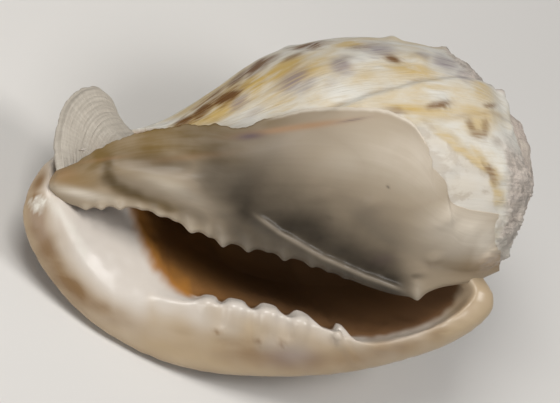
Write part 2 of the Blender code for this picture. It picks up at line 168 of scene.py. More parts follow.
coil_tree = bpy.data.node_groups.new("coiled_wall", "GeometryNodeTree")
COIL_INPUTS = (
    ("Turn Start", "Float", -1.0), ("Turn End", "Float", 0.0), ("Turn Steps", "Int", 100),
    ("Share Steps", "Int", 100), ("Share Bias", "Float", 1.0), ("Growth", "Float", GROWTH),
    ("Lift", "Float", 0.0), ("Knobs Per Turn", "Float", KNOBS_PER_TURN), ("Knob Height", "Float", 2.8),
    ("Varix Turn", "Float", VARIX_TURN), ("Varix Height", "Float", 2.6),
)
for name, kind, value in COIL_INPUTS:
    socket = coil_tree.interface.new_socket(name, in_out="INPUT", socket_type="NodeSocket" + kind)
    socket.default_value = value
coil_tree.interface.new_socket("Material", in_out="INPUT", socket_type="NodeSocketMaterial")
coil_tree.interface.new_socket("Geometry", in_out="OUTPUT", socket_type="NodeSocketGeometry")
given = coil_tree.nodes.new("NodeGroupInput").outputs


def wire(socket, value):
    """Join a socket to another, or give it a plain value."""
    if isinstance(value, bpy.types.NodeSocket):
        socket.id_data.links.new(value, socket)
    else:
        socket.default_value = value


def add_node(tree, kind, wires=(), **settings):
    """A node with its settings, and its inputs joined or set by name or place."""
    made = tree.nodes.new(kind)
    for name, value in settings.items():
        setattr(made, name, value)
    for name, value in dict(wires).items():
        wire(made.inputs[name], value)
    return made


def math(operation, *values, clamp=False):
    """A calculation among the nodes that the values come from."""
    tree = next(value.id_data for value in values if isinstance(value, bpy.types.NodeSocket))
    made = add_node(tree, "ShaderNodeMath", enumerate(values), operation=operation, use_clamp=clamp)
    return made.outputs[0]


def times(*values, clamp=False):
    """The product of two or more values."""
    total = values[0]
    for value in values[1:]:
        total = math("MULTIPLY", total, value, clamp=clamp)
    return total


def soft(value, low, high, to_low=0.0, to_high=1.0):
    """A smooth step from one level to another while the value goes from low to high."""
    made = add_node(
        value.id_data, "ShaderNodeMapRange",
        {"Value": value, "From Min": low, "From Max": high, "To Min": to_low, "To Max": to_high},
        interpolation_type="SMOOTHSTEP",
    )
    return made.outputs["Result"]


def between(fac, a, b):
    return math("MULTIPLY_ADD", math("SUBTRACT", b, a), fac, a)


def section_curve(section, column, scale, share):
    """One column of a section, over the share."""
    made = add_node(share.id_data, "ShaderNodeFloatCurve", {"Value": share})
    points = made.mapping.curves[0].points
    spots = [(row[0], row[column] / scale) for row in section]
    points[0].location = spots[0]
    points[-1].location = spots[-1]
    for at in spots[1:-1]:
        points.new(*at)
    made.mapping.update()
    return times(made.outputs["Value"], scale)


def scaled(direction, amount):
    wires = {0: direction, "Scale": amount}
    return add_node(amount.id_data, "ShaderNodeVectorMath", wires, operation="SCALE").outputs[0]


def vector_sum(first, *vectors):
    for vector in vectors:
        wires = {0: first, 1: vector}
        first = add_node(first.id_data, "ShaderNodeVectorMath", wires, operation="ADD").outputs[0]
    return first


grid = add_node(coil_tree, "GeometryNodeMeshGrid", {
    "Size X": 1.0, "Size Y": 1.0, "Vertices X": given["Turn Steps"], "Vertices Y": given["Share Steps"],
})
position = coil_tree.nodes.new("GeometryNodeInputPosition")
flat = add_node(coil_tree, "ShaderNodeSeparateXYZ", {0: position.outputs[0]})
turn_value = between(math("ADD", flat.outputs["X"], 0.5), given["Turn Start"], given["Turn End"])
share_step = math("ADD", flat.outputs["Y"], 0.5, clamp=True)
share_value = math("POWER", share_step, given["Share Bias"])
both = add_node(coil_tree, "ShaderNodeCombineXYZ", {"X": turn_value, "Y": share_value})
keep = add_node(
    coil_tree, "GeometryNodeStoreNamedAttribute",
    {"Name": "coil", "Value": both.outputs[0], "Geometry": grid.outputs["Mesh"]},
    data_type="FLOAT_VECTOR", domain="POINT",
)
stored = add_node(
    coil_tree, "GeometryNodeInputNamedAttribute", {"Name": "coil"}, data_type="FLOAT_VECTOR",
)
split = add_node(coil_tree, "ShaderNodeSeparateXYZ", {0: stored.outputs["Attribute"]})
turn_at = split.outputs["X"]
share_at = split.outputs["Y"]

past_varix = math("SUBTRACT", turn_at, given["Varix Turn"])
newer = soft(past_varix, *SECTION_CHANGE)
radius = between(newer, *(section_curve(part, 1, WIDEST, share_at) for part in (OLD_SECTION, LAST_SECTION)))
depth = between(newer, *(section_curve(part, 2, LONGEST, share_at) for part in (OLD_SECTION, LAST_SECTION)))
grown = math("POWER", given["Growth"], turn_at)
angle = math("MULTIPLY_ADD", turn_at, -2.0 * pi, LIP_ANGLE)
spoke = times(radius, grown)
smooth_place = vector_sum(
    scaled(tuple(AXIS), times(depth, grown, -1.0)),
    scaled(tuple(ACROSS), times(spoke, math("COSINE", angle))),
    scaled(tuple(OUTWARD), times(spoke, math("SINE", angle))),
    tuple(APEX),
)
swing = add_node(
    coil_tree, "GeometryNodeSetPosition", {"Geometry": keep.outputs["Geometry"], "Position": smooth_place},
)

# Knobs stand where a wave along each row peaks. The varix is a slope with a steep young side.
knobs = []
for row, width, high in KNOB_ROWS:
    phase = math("MULTIPLY_ADD", share_at, KNOB_LEAN, math("ADD", turn_at, KNOB_START - KNOB_LEAN * row))
    wave = math("COSINE", times(phase, given["Knobs Per Turn"], pi))
    wave = math("POWER", math("ABSOLUTE", wave), KNOB_POINT)
    off_row = math("DIVIDE", math("SUBTRACT", share_at, row), width)
    bell = math("EXPONENT", times(off_row, off_row, -1.0))
    knobs.append(times(wave, bell, times(given["Knob Height"], high)))
for knob_turn, row, length, width, high in SHOULDER_KNOBS:
    far_turn = math("DIVIDE", math("SUBTRACT", turn_at, knob_turn), length)
    far_share = math("DIVIDE", math("SUBTRACT", share_at, row), width)
    far_off = math("MULTIPLY_ADD", far_turn, far_turn, times(far_share, far_share))
    knobs.append(times(math("EXPONENT", times(far_off, -1.0)), high))
relief = knobs[0]
for knob in knobs[1:]:
    relief = math("ADD", relief, knob)
leaning = times(math("SUBTRACT", share_at, VARIX_LEAN_FROM, clamp=True), VARIX_LEAN)
past = math("ADD", past_varix, leaning)
young_side = math("SUBTRACT", 1.0, soft(past, 0.0, VARIX_DROP))
canal_end = math("SUBTRACT", 1.0, soft(share_at, 0.75, 0.95))
fade = times(soft(share_at, 0.0, 0.1), canal_end)
ridge = times(soft(past, -VARIX_RISE, 0.0), young_side, fade)
relief = math("ADD", relief, times(ridge, given["Varix Height"]))
rise = math("ADD", times(relief, grown), given["Lift"])
normal = coil_tree.nodes.new("GeometryNodeInputNormal").outputs[0]
raise_up = add_node(coil_tree, "GeometryNodeSetPosition", {
    "Geometry": swing.outputs["Geometry"], "Offset": scaled(normal, rise),
})
realize = add_node(coil_tree, "GeometryNodeRealizeInstances", {"Geometry": raise_up.outputs["Geometry"]})
dress = add_node(coil_tree, "GeometryNodeSetMaterial", {
    "Geometry": realize.outputs["Geometry"], "Material": given["Material"],
})
add_node(coil_tree, "NodeGroupOutput", {"Geometry": dress.outputs["Geometry"]})


def coiled_wall(turn_start, turn_end, turn_steps, share_steps, bias, lift):
    """Points of one wall, a row for each turn value."""
    carrier = put("carrier", bpy.data.meshes.new("carrier"))
    modifier = carrier.modifiers.new("Coil", "NODES")
    modifier.node_group = coil_tree
    asked = {
        "Turn Start": turn_start, "Turn End": turn_end, "Turn Steps": turn_steps,
        "Share Steps": share_steps, "Share Bias": bias, "Lift": lift,
    }
    for item in coil_tree.interface.items_tree:
        if item.in_out == "INPUT" and item.name in asked:
            modifier[item.identifier] = asked[item.name]
    shown = carrier.evaluated_get(bpy.context.evaluated_depsgraph_get())
    made = bpy.data.meshes.new_from_object(shown)
    places = np.empty(3 * len(made.vertices))
    made.vertices.foreach_get("co", places)
    bpy.data.objects.remove(carrier, do_unlink=True)
    bpy.data.meshes.remove(made)
    return places.reshape(turn_steps, share_steps, 3)


# LAST WHORL
# The outer wall, its thick rolled lip and the wall's inside are one layer of aragonite. The outside
# is matt cream with growth lines and brown flames, the lip is enamel and the inside is dark brown.
WALL = 3.2
SHEET_TURN = -1.45
LIP_TURN = -0.15
OUTER_ROWS = 400
LIP_ROWS = 90
INNER_ROWS = 64
SHARES = 168
# Growth of these turns is worn on the shoulder: the older whorl, and a little past the ridge.
OLD_WEAR_ENDS = (-0.78, -0.72)
YOUNG_WEAR_ENDS = (-0.58, -0.40)
WEAR_DEPTH = 0.9
SEAM_HEIGHT = 1.1
# How the edge at the suture is tucked in: toward the axis and along it.
TUCK_IN = 2.4
TUCK_ALONG = 1.4
# About how many millimetres a turn and the whole half section measure.
TURN_LENGTH = 270.0
SHARE_LENGTH = 150.0
# Guide curves along the lip, each row a share of the section and a point.
LIP_BACK = np.array([
    (0.00, 64, -20, -24), (0.04, 67, -30, -26), (0.09, 66, -37, -25), (0.17, 56, -45, -21),
    (0.28, 38, -51, -15), (0.38, 20, -54, -11), (0.47, 0, -54, -7), (0.57, -22, -51, -3),
    (0.66, -40.5, -44.5, 1), (0.74, -56.5, -35, 6), (0.80, -68.5, -23.5, 12), (0.86, -79, -10, 18),
    (0.90, -84, -1, 21), (0.94, -84, 7, 20), (0.97, -81.5, 13, 17), (1.00, -78, 18, 9),
])
LIP_EDGE = np.array([
    (0.00, 69, -22, -16), (0.04, 76.8, -33, -15), (0.09, 75.3, -41.5, -14), (0.17, 62.5, -50.8, -11),
    (0.28, 42, -57.8, -5), (0.38, 22, -61.7, 0), (0.47, 0, -62.6, 4), (0.57, -24.2, -61.2, 9),
    (0.66, -44.5, -56, 14), (0.74, -63.8, -45.6, 20), (0.80, -77.3, -33.2, 25), (0.86, -87.6, -18, 30),
    (0.90, -91.2, -6.3, 32), (0.94, -89.4, 4, 31), (0.97, -85, 11.8, 26), (1.00, -80, 17, 15),
])
LIP_CREST = np.array([
    (0.00, 66, -24, -11), (0.04, 71, -32, -9), (0.09, 66.5, -39, -7), (0.17, 55, -46, -2),
    (0.28, 34, -51.5, 5), (0.38, 16, -46.5, 10), (0.47, -0.5, -42, 14), (0.57, -22, -38.2, 18),
    (0.66, -43, -36.8, 21), (0.74, -59, -33, 25), (0.80, -69, -22, 29), (0.86, -75.5, -10, 33),
    (0.90, -79.5, 0, 34), (0.94, -82, 6, 32), (0.97, -81.5, 12, 27), (1.00, -78.5, 18, 16),
])
LIP_INNER = np.array([
    (0.00, 62, -26, -14), (0.04, 67, -33, -14), (0.09, 61.5, -40.2, -13), (0.17, 49, -46.8, -9),
    (0.28, 28, -49, -1), (0.38, 11, -43.6, 5), (0.47, -2, -40.2, 9), (0.57, -21, -36.6, 13),
    (0.66, -37, -31, 14), (0.74, -47, -18.5, 13), (0.80, -54, -8, 13), (0.86, -62, 0, 15),
    (0.90, -69, 4, 18), (0.94, -75, 7, 20), (0.97, -76.5, 12, 19), (1.00, -76, 17, 13),
])
# Teeth on the lip: place along it, half width, height, and how far the rib below each one runs.
LIP_TEETH = (
    (-25.2, 3.3, 1.8, 7), (-15.9, 4.2, 2.9, 11), (-4.3, 4.2, 3.1, 12), (7.4, 3.7, 3.1, 11),
    (21, 1.4, 3.4, 6),
)
# A rib's height and width against its tooth's.
RIB_HEIGHT = 0.42
RIB_WIDTH = 0.75
# Small warts on the lip below the teeth: X, Y, radius and height.
LIP_WARTS = ((-21.4, -46.8, 1.6, 0.8), (-6.0, -50.4, 1.8, 1.0), (2.6, -50.8, 1.8, 1.0))
# The line where the enamel of the lip stops and the dark inside starts.
DARK_LINE = np.array([
    (-56, 6), (-50.5, 0.5), (-49.5, -5), (-47.3, -11.5), (-42.5, -22), (-36.5, -29), (-30, -33.5),
    (-20, -37), (-2, -41),
])
DARK_RIGHT = np.array([
    (14, -45.5), (22, -47.6), (34, -48), (43, -46.2), (50.5, -44), (57.5, -40.6), (61.5, -36.8),
    (63.5, -32), (64, -20),
])
# A chalky streak down the narrow end of the lip.
CHALK_LINE = np.array([(-81.5, 0.0), (-77.5, -4.5), (-73.5, -10.5), (-70.5, -17.0), (-68.0, -24.0)])
# The yellow seam left by an earlier mouth, and the ragged old callus between it and the shield.
SEAM_LINE = np.array([(40.0, 30.0), (53.6, 27.5), (64.1, 18.9), (76.0, 10.3), (79.5, -4.0)])
# Marks: X, Y, half length, half width, angle, strength. The strongest are brown flames.
BROWN_MARKS = (
    (-34, 28.6, 5.4, 1.6, 35, 1), (-28, 32.6, 5.6, 2.3, 38, 1), (-19.4, 37, 6.2, 2.2, 28, 1),
    (-7.9, 48.4, 5.8, 1.9, 33, 1), (-3.6, 51.2, 4, 1.3, 25, 0.8), (-15.5, 44, 6, 1.3, 40, 0.8),
    (-24, 37.6, 6, 1, 38, 0.7), (10.8, 55.8, 6.5, 1.5, 8, 1), (40.3, 50.9, 3.2, 1.4, -20, 0.7),
    (57.2, 34.4, 4.4, 1.5, 10, 0.8), (41, 32.6, 3.8, 1.3, -10, 0.5), (68.6, 26.8, 3.6, 1.4, -66, 0.5),
    (73.3, 25.7, 4.4, 1.5, 83, 0.5), (70.9, 24, 3.2, 2.2, 0, 0.5), (78.1, 21.1, 3.2, 1.5, -40, 0.4),
    (75.6, 10.6, 3.4, 1.8, -60, 0.6), (53.5, 27, 3, 1, -35, 0.4), (27.7, 54.8, 4.2, 1.2, 10, 0.6),
    (5, 52.5, 5, 1, 25, 0.6), (76.5, 9.5, 4, 1.3, -75, 0.5), (75.5, 34.6, 3, 0.9, 5, 0.6),
)
GREY_MARKS = (
    (22, 48.8, 4.4, 4, 0, 0.9), (36, 54.7, 5.8, 2.9, -11, 0.95), (4.3, 43.3, 6.4, 3.4, 33, 0.95),
    (-14.8, 35.1, 4, 2.1, 33, 0.9), (59.8, 49.9, 5, 3.2, -15, 0.9), (18.4, 42.3, 3.2, 1.8, 30, 0.3),
    (66, 45.5, 4, 2.4, -30, 0.8), (52, 52.6, 3.2, 1.8, -10, 0.6), (-9.5, 31.5, 4, 1.5, 33, 0.4),
    (9.5, 41.5, 5, 2.4, 33, 0.6),
)
TAN_MARKS = (
    (-9, 41.9, 8, 3.2, 33, 0.9), (11.5, 37.3, 8, 3.6, 33, 0.4), (24.8, 56.3, 6.4, 2, 5, 0.6),
    (-19.8, 33.7, 12, 3.6, 33, 0.9), (1.8, 48.1, 10.4, 3.4, 33, 0.9), (58, 40.9, 8, 1.2, -2, 0.6),
    (18, 50.9, 7.2, 3.6, 25, 0.5), (48.6, 46.6, 10.6, 2.8, -12, 0.6), (68.4, 32.9, 12.8, 2.4, -10, 0.4),
    (7.2, 45.5, 12.8, 2.4, 33, 0.7), (-30, 30.5, 12, 3, 36, 0.9), (45, 33.5, 9, 1.8, -6, 0.7),
    (60, 22, 8, 3, -35, 0.5), (30, 45, 6, 3, 30, 0.3), (72, 15, 6, 2.4, -50, 0.5),
    (1, 33, 8, 2.4, 30, 0.6), (70.9, 26, 5, 5, 0, 0.4), (53, 33, 16, 3.4, -8, 0.5),
    (-22, 39.5, 16, 6, 37, 0.6),
)
# Tan clouds of the lip, and brown spots with painted shade on the warts' shadow side: X, Y, half length,
# half width, angle, strength.
LIP_TAN_AND_SHADE = (
    (31, -54.5, 9, 3, 10, 0.65), (48, -51, 9, 2.4, 15, 0.5), (66, -38, 5, 3, 40, 0.45),
    # The next three are brown spots with painted shade, on the shadow side of the warts.
    (-22.6, -47, 1.6, 1.1, -20, 0.9), (-7.9, -50.5, 1.6, 1.1, -20, 1), (0.6, -50.9, 1.6, 1.1, -20, 1),
    (-4.9, -46, 1.9, 3.8, 0, 0.2), (-17, -43, 1.9, 3.8, 0, 0.2), (5, -46.5, 1.9, 3.8, 0, 0.2),
    (-30, -47, 14, 3, -10, 0.3), (-85.5, 7, 2.4, 6, -30, 1), (-14, -50.5, 12, 3, -4, 0.5),
    (-3, -54.5, 12, 3.2, -2, 0.6), (-58, -40, 9, 4, -28, 0.65), (-77, -12, 3, 9, 12, 0.3),
    (-83, -12, 3.6, 10, 10, 0.7), (-72, -31, 10, 3.4, -45, 0.7),
)
# The band along the rim: brown at the narrow end, painted shade along the lower rim. X, Y and its strength.
RIM_BAND_AND_SHADE = np.array([
    (-87.5, 0, 1), (-87, -9, 1), (-84, -18, 1), (-78.5, -27, 1), (-71, -34.5, 1), (-62.5, -40.5, 0.8),
    (-52, -46, 0.4), (-40, -50.5, 0.2), (-26, -54, 0.25), (-14, -56, 0.6), (0, -58, 0.75),
    (14, -58.5, 0.75), (30, -57, 0.7), (44, -53.5, 0.6), (56, -48.5, 0.4),
])
# Rows of flames round the sides that lie below: share, steps per turn.
FLAME_ROWS = ((0.165, 13), (0.28, 11), (0.43, 10), (0.62, 8))


def spline(knots, values, x):
    """Cubic curve through the values at the knots."""
    x = np.clip(np.asarray(x, float), knots[0], knots[-1])
    slope = np.empty_like(values)
    slope[1:-1] = ((values[2:] - values[:-2]).T / (knots[2:] - knots[:-2])).T
    slope[0] = (values[1] - values[0]) / (knots[1] - knots[0])
    slope[-1] = (values[-1] - values[-2]) / (knots[-1] - knots[-2])
    i = np.clip(np.searchsorted(knots, x, side="right") - 1, 0, len(knots) - 2)
    width = (knots[i + 1] - knots[i])[..., None]
    u = (x - knots[i])[..., None] / width
    start = (2 * u**3 - 3 * u**2 + 1) * values[i] + (u**3 - 2 * u**2 + u) * width * slope[i]
    end = (3 * u**2 - 2 * u**3) * values[i + 1] + (u**3 - u**2) * width * slope[i + 1]
    return start + end


def guide(table, x):
    return spline(table[:, 0], table[:, 1:], x)


def ramp(low, high, x):
    u = np.clip((np.asarray(x, float) - low) / (high - low), 0.0, 1.0)
    return u * u * (3.0 - 2.0 * u)


def fall(low, high, x):
    return 1.0 - ramp(low, high, x)


def hump(x, centre, width):
    return np.exp(-(((np.asarray(x, float) - centre) / width) ** 2))


def blunt(x, centre, width):
    return np.exp(-(((np.asarray(x, float) - centre) / width) ** 4))


def unit(vectors):
    return vectors / np.maximum(np.linalg.norm(vectors, axis=-1, keepdims=True), 1e-9)


def normals(points):
    """Which way the surface through a grid of points faces."""
    return unit(np.cross(np.gradient(points, axis=0), np.gradient(points, axis=1)))


def ripple(x, y, length, seed):
    """Soft uneven waves between -1 and 1, about one length apart."""
    rng = np.random.default_rng(seed)
    total = np.zeros(np.broadcast(x, y).shape)
    for _ in range(14):
        heading = rng.uniform(0.0, 2.0 * pi)
        beat = 2.0 * pi / (length * rng.uniform(0.6, 1.7))
        total += np.cos(beat * (x * np.cos(heading) + y * np.sin(heading)) + rng.uniform(0.0, 2.0 * pi))
    return total / 5.0


def from_line(line, x, y):
    """Share along a line of points and signed distance from it."""
    nearest = np.full(x.shape, 1e9)
    side = np.zeros(x.shape)
    share = np.zeros(x.shape)
    for i in range(len(line) - 1):
        start = line[i]
        run = line[i + 1] - start
        u = np.clip(((x - start[0]) * run[0] + (y - start[1]) * run[1]) / (run @ run), 0.0, 1.0)
        dx = x - start[0] - u * run[0]
        dy = y - start[1] - u * run[1]
        distance = np.hypot(dx, dy)
        closer = distance < nearest
        nearest = np.where(closer, distance, nearest)
        side = np.where(closer, np.sign(run[0] * dy - run[1] * dx) * distance, side)
        share = np.where(closer, (i + u) / (len(line) - 1), share)
    return share, side


def stain(places, centre, first, second, long, wide):
    """Soft spot on a surface round a point, 1 in the middle."""
    off = places - centre
    third = np.cross(first, second)
    seed = int(97 * long + 13 * wide)
    ragged = 1.0 + 0.4 * ripple(off @ first / long, 2.5 * (off @ second) / wide, 1.6, seed)
    q = ((off @ first) / long) ** 2 + ((off @ second) / wide) ** 2 + ((off @ third) / (2.5 * long)) ** 2
    return np.exp(-((q * np.clip(ragged, 0.4, 2.0)) ** 1.5))


def patches(x, y, spots):
    """The strongest of many soft ellipses at each point."""
    most = np.zeros(x.shape)
    for spot_x, spot_y, long, wide, turned, strength in spots:
        lean = radians(turned)
        q = (((x - spot_x) * cos(lean) + (y - spot_y) * sin(lean)) / long) ** 2
        q += (((y - spot_y) * cos(lean) - (x - spot_x) * sin(lean)) / wide) ** 2
        most = np.maximum(most, strength * np.exp(-q))
    return most


def raise_to(layer, amount):
    """Keep the larger of the layer and the amount in the layer."""
    np.maximum(layer, amount, out=layer)


def grid_faces(rows, columns, joined):
    """Four corners of each cell of a grid, whose last column may join the first."""
    ring = np.arange(columns if joined else columns - 1)
    start = (np.arange(rows - 1) * columns)[:, None]
    after = (ring + 1) % columns
    cells = np.stack([start + ring, start + after, start + columns + after, start + columns + ring], -1)
    return cells.reshape(-1, 4).tolist()


def closed_mesh(name, rings, cap, values):
    """A closed mesh from rings of points. Each end ring is closed across, pairing its two halves by
    the cap values, which rise along the first half and fall along the second."""
    rows, columns = rings.shape[:2]
    faces = grid_faces(rows, columns, True)
    top = int(np.argmax(cap))
    near, far = 0, columns - 1
    while near < top and far > top:
        if cap[near + 1] <= cap[far - 1]:
            corner = (near, near + 1, far)
            near += 1
        else:
            corner = (near, far - 1, far)
            far -= 1
        if len(set(corner)) == 3:
            faces.append(corner[::-1])
            faces.append(tuple(k + (rows - 1) * columns for k in corner))
    mesh = bpy.data.meshes.new(name)
    mesh.from_pydata(lay(rings.reshape(-1, 3)).tolist(), [], faces)
    body = bmesh.new()
    body.from_mesh(mesh)
    bmesh.ops.recalc_face_normals(body, faces=body.faces)
    body.to_mesh(mesh)
    body.free()
    for label, data in values.items():
        kept = mesh.attributes.new(label, "FLOAT_VECTOR", "POINT")
        kept.data.foreach_set("vector", np.ascontiguousarray(data, np.float32).ravel())
    mesh.shade_smooth()
    return put(name, mesh)


share = np.linspace(0.0, 1.0, SHARES)
outside = coiled_wall(SHEET_TURN, LIP_TURN, OUTER_ROWS, SHARES, 1.0, 0.0)
inside = coiled_wall(SHEET_TURN, LIP_TURN, INNER_ROWS, SHARES, 1.0, -WALL)

# Uneven growth: low steps along the growth lines, and the raised seam of the earlier mouth.
outer_turn = np.linspace(SHEET_TURN, LIP_TURN, OUTER_ROWS)[:, None]
outward = normals(outside)
across_wall = unit(np.gradient(outside, axis=1))
growth_step = ripple(outer_turn * 60.0 + share * 4.0, share * 5.0, 2.2, 5) * 0.16
growth_step += ripple(outer_turn * 60.0, share * 40.0, 9.0, 6) * 0.25
facing = ramp(0.0, 0.2, outward[..., 2])
edge_of_wear = share[None, :] + 0.012 * ripple(outer_turn * TURN_LENGTH, share * SHARE_LENGTH, 12.0, 12)
young_wear = ramp(VARIX_TURN - 0.008, VARIX_TURN, outer_turn) * fall(*YOUNG_WEAR_ENDS, outer_turn)
wear = young_wear * fall(0.215, 0.245, edge_of_wear)
raise_to(wear, fall(*OLD_WEAR_ENDS, outer_turn) * fall(0.175, 0.215, edge_of_wear))
scales = ripple(outer_turn * TURN_LENGTH, share * 60.0, 5.0, 13)
scales += 0.6 * ripple(outer_turn * TURN_LENGTH, share * SHARE_LENGTH, 3.4, 14)
growth_step += WEAR_DEPTH * wear * np.abs(scales)
along_seam, from_seam = from_line(SEAM_LINE, outside[..., 0], outside[..., 1])
seam = hump(from_seam + 0.8 * ripple(outside[..., 0], outside[..., 1], 6.0, 7), -0.6, 2.8) * facing
seam = seam * ramp(0.0, 0.12, along_seam) * fall(0.9, 1.0, along_seam)
near_end = fall(-0.19, LIP_TURN, outer_turn)
outside = outside + outward * ((growth_step + SEAM_HEIGHT * seam) * near_end)[..., None]
# The edge at the suture is tucked under the skin of the whorl before.
from_apex = outside - APEX
radial = unit(from_apex - (from_apex @ AXIS)[..., None] * AXIS)
tuck = fall(0.0, 0.045, share)[None, :] * near_end
outside = outside - (TUCK_IN * radial + TUCK_ALONG * AXIS) * tuck[..., None]

# The lip: a curve through the guide points at each share, with teeth, ribs and warts. Its way round
# is told by a number at each knot: 0 where the outer wall ends, 1 where the inside starts.
ROUND_AT = (-0.2, 0.0, 0.2, 0.4, 0.6, 0.8, 0.84, 1.0, 1.2)
CREST_KNOT = 4
INNER_KNOT = 5
knots = [outside[-13], outside[-1]]
knots += [guide(table, share) for table in (LIP_BACK, LIP_EDGE, LIP_CREST, LIP_INNER)]
inward = (0.14 + 0.36 * ramp(0.62, 0.74, share))[:, None]
knots += [knots[-1] + inward * (inside[-1] - knots[-1]), inside[-1], inside[-3]]
knots = np.array(knots)
inner_knot = knots[INNER_KNOT]
crest_knot = knots[CREST_KNOT]
for x, width, high, rib in LIP_TEETH:
    tooth = high * blunt(inner_knot[:, 0], x, width)
    inner_knot[:, 1] += tooth
    inner_knot[:, 2] += 0.5 * tooth
    crest_knot[:, 2] += 0.3 * high * blunt(crest_knot[:, 0], x, width)
gaps = np.linalg.norm(np.diff(knots, axis=0), axis=2)
lip_rows = []
lip_round = []
for j in range(SHARES):
    marks_at = np.concatenate([[0.0], np.cumsum(np.sqrt(np.maximum(gaps[:, j], 0.5)))])
    at = np.linspace(marks_at[1], marks_at[-2], LIP_ROWS)
    lip_rows.append(spline(marks_at, knots[:, j], at))
    lip_round.append(np.interp(at, marks_at, ROUND_AT))
lip = np.array(lip_rows).transpose(1, 0, 2)
lip_round = np.array(lip_round).T
swell = 0.12 * ripple(lip[..., 0], lip[..., 1] * 1.6, 7.0, 11)
for x, width, high, rib in LIP_TEETH:
    crest_y = np.interp(x, LIP_INNER[::-1, 1], LIP_INNER[::-1, 2])
    below = crest_y - lip[..., 1]
    reach = fall(0.3 * rib, 1.2 * rib, below) * ramp(-3.0, 0.5, below) * ramp(0.43, 0.54, lip_round)
    swell += RIB_HEIGHT * high * blunt(lip[..., 0] + 0.12 * below, x, RIB_WIDTH * width) * reach
for x, y, size, high in LIP_WARTS:
    away = np.hypot(lip[..., 0] - x, lip[..., 1] - y)
    swell += high * hump(away, 0.0, size) * ramp(0.2, 0.4, lip_round)
lip_end = ramp(0.0, 0.06, lip_round) * fall(0.9, 1.0, lip_round)
lip = lip + normals(lip) * (swell * lip_end)[..., None]

# Around the whole sheet: outer wall, lip, inside.
lip_start = OUTER_ROWS - 1
rings = np.concatenate([outside[:-1], lip, inside[::-1][1:]])
inner_turn = np.linspace(SHEET_TURN, LIP_TURN, INNER_ROWS)
ring_turn = np.concatenate([outer_turn[:-1, 0], np.full(LIP_ROWS, LIP_TURN), inner_turn[::-1][1:]])
ring_round = np.concatenate([
    np.zeros((lip_start, SHARES)), lip_round,
    np.linspace(1.0, 2.0, INNER_ROWS)[1:, None] * np.ones((1, SHARES)),
])
lip_middle = lip_start + LIP_ROWS // 2
lip_half = np.linspace(0.0, 0.1, LIP_ROWS // 2)
cap = ring_turn.copy()
cap[lip_start:lip_middle] += lip_half
cap[lip_middle:lip_start + LIP_ROWS] += lip_half[::-1]
cap[lip_middle - 1] += 0.01
x, y = rings[..., 0], rings[..., 1]
turns, shares = np.broadcast_arrays(ring_turn[:, None], share[None, :])
coil_place = np.stack([turns, shares, ring_round], axis=-1)


def over_all(amount):
    """An amount on the outer wall, with none on the lip and the inside."""
    return np.concatenate([amount[:-1], np.zeros((len(rings) - lip_start, SHARES))])


# Where the enamel, the dark inside, the old callus and the chalky streak are.
enamel = ramp(0.06, 0.16, ring_round + 0.02 * ripple(x, y, 8.0, 21))
line_side = from_line(DARK_LINE, x, y)[1]
edge_wave = 0.5 * ripple(x, y, 5.0, 22)
in_bowl = fall(-33.0, -29.0, x)
right_end = ramp(22.0, 34.0, x)
right_side = from_line(DARK_RIGHT, x, y)[1]
behind = ramp(0.795, 0.812, ring_round) * (1.0 - right_end)
behind = behind + ramp(-2.4, 0.0, right_side + 0.5 * edge_wave) * ramp(0.5, 0.7, ring_round) * right_end
dark = ramp(-6.0, -0.8, line_side + edge_wave) * ramp(0.7, 0.78, ring_round) * in_bowl
dark = dark + behind * (1.0 - in_bowl)
raise_to(dark, ramp(1.25, 1.4, ring_round) * ramp(-1.5, 3.5, line_side))
raise_to(dark, ramp(1.45, 1.55, ring_round))
amber = fall(-2.0, 10.0, line_side + 2.0 * edge_wave) * in_bowl
raise_to(amber, 0.12 + 0.38 * fall(-38.0, 0.0, x))
line_side = from_line(SEAM_LINE, x, y)[1]
ragged = 1.2 * ripple(x, y, 7.0, 23) + 0.5 * ripple(x, y, 2.5, 24)
old = ramp(1.0, 2.2, -line_side + ragged * 0.3) * ramp(43.0, 46.0, x + ragged) * ramp(-12.0, -8.0, y)
zone = np.stack([enamel, dark, old * over_all(facing)], axis=-1)
chalk_share, chalk_side = from_line(CHALK_LINE, x, y)
chalk_side = chalk_side + 0.5 * ripple(x, y, 3.0, 25)
chalk = hump(chalk_side, 0.0, 1.9 - 0.7 * chalk_share) * fall(0.8, 1.0, chalk_share)
corner = np.hypot((x + 86.0) / 3.4, (y + 0.6) / 2.8) + 0.25 * ripple(x, y, 2.5, 26)
chalk = np.maximum(0.75 * chalk, fall(0.75, 1.0, corner)) * ramp(0.2, 0.35, ring_round)
chalk = chalk * fall(0.9, 1.0, ring_round)
wears = np.stack([amber, over_all(wear), chalk], axis=-1)

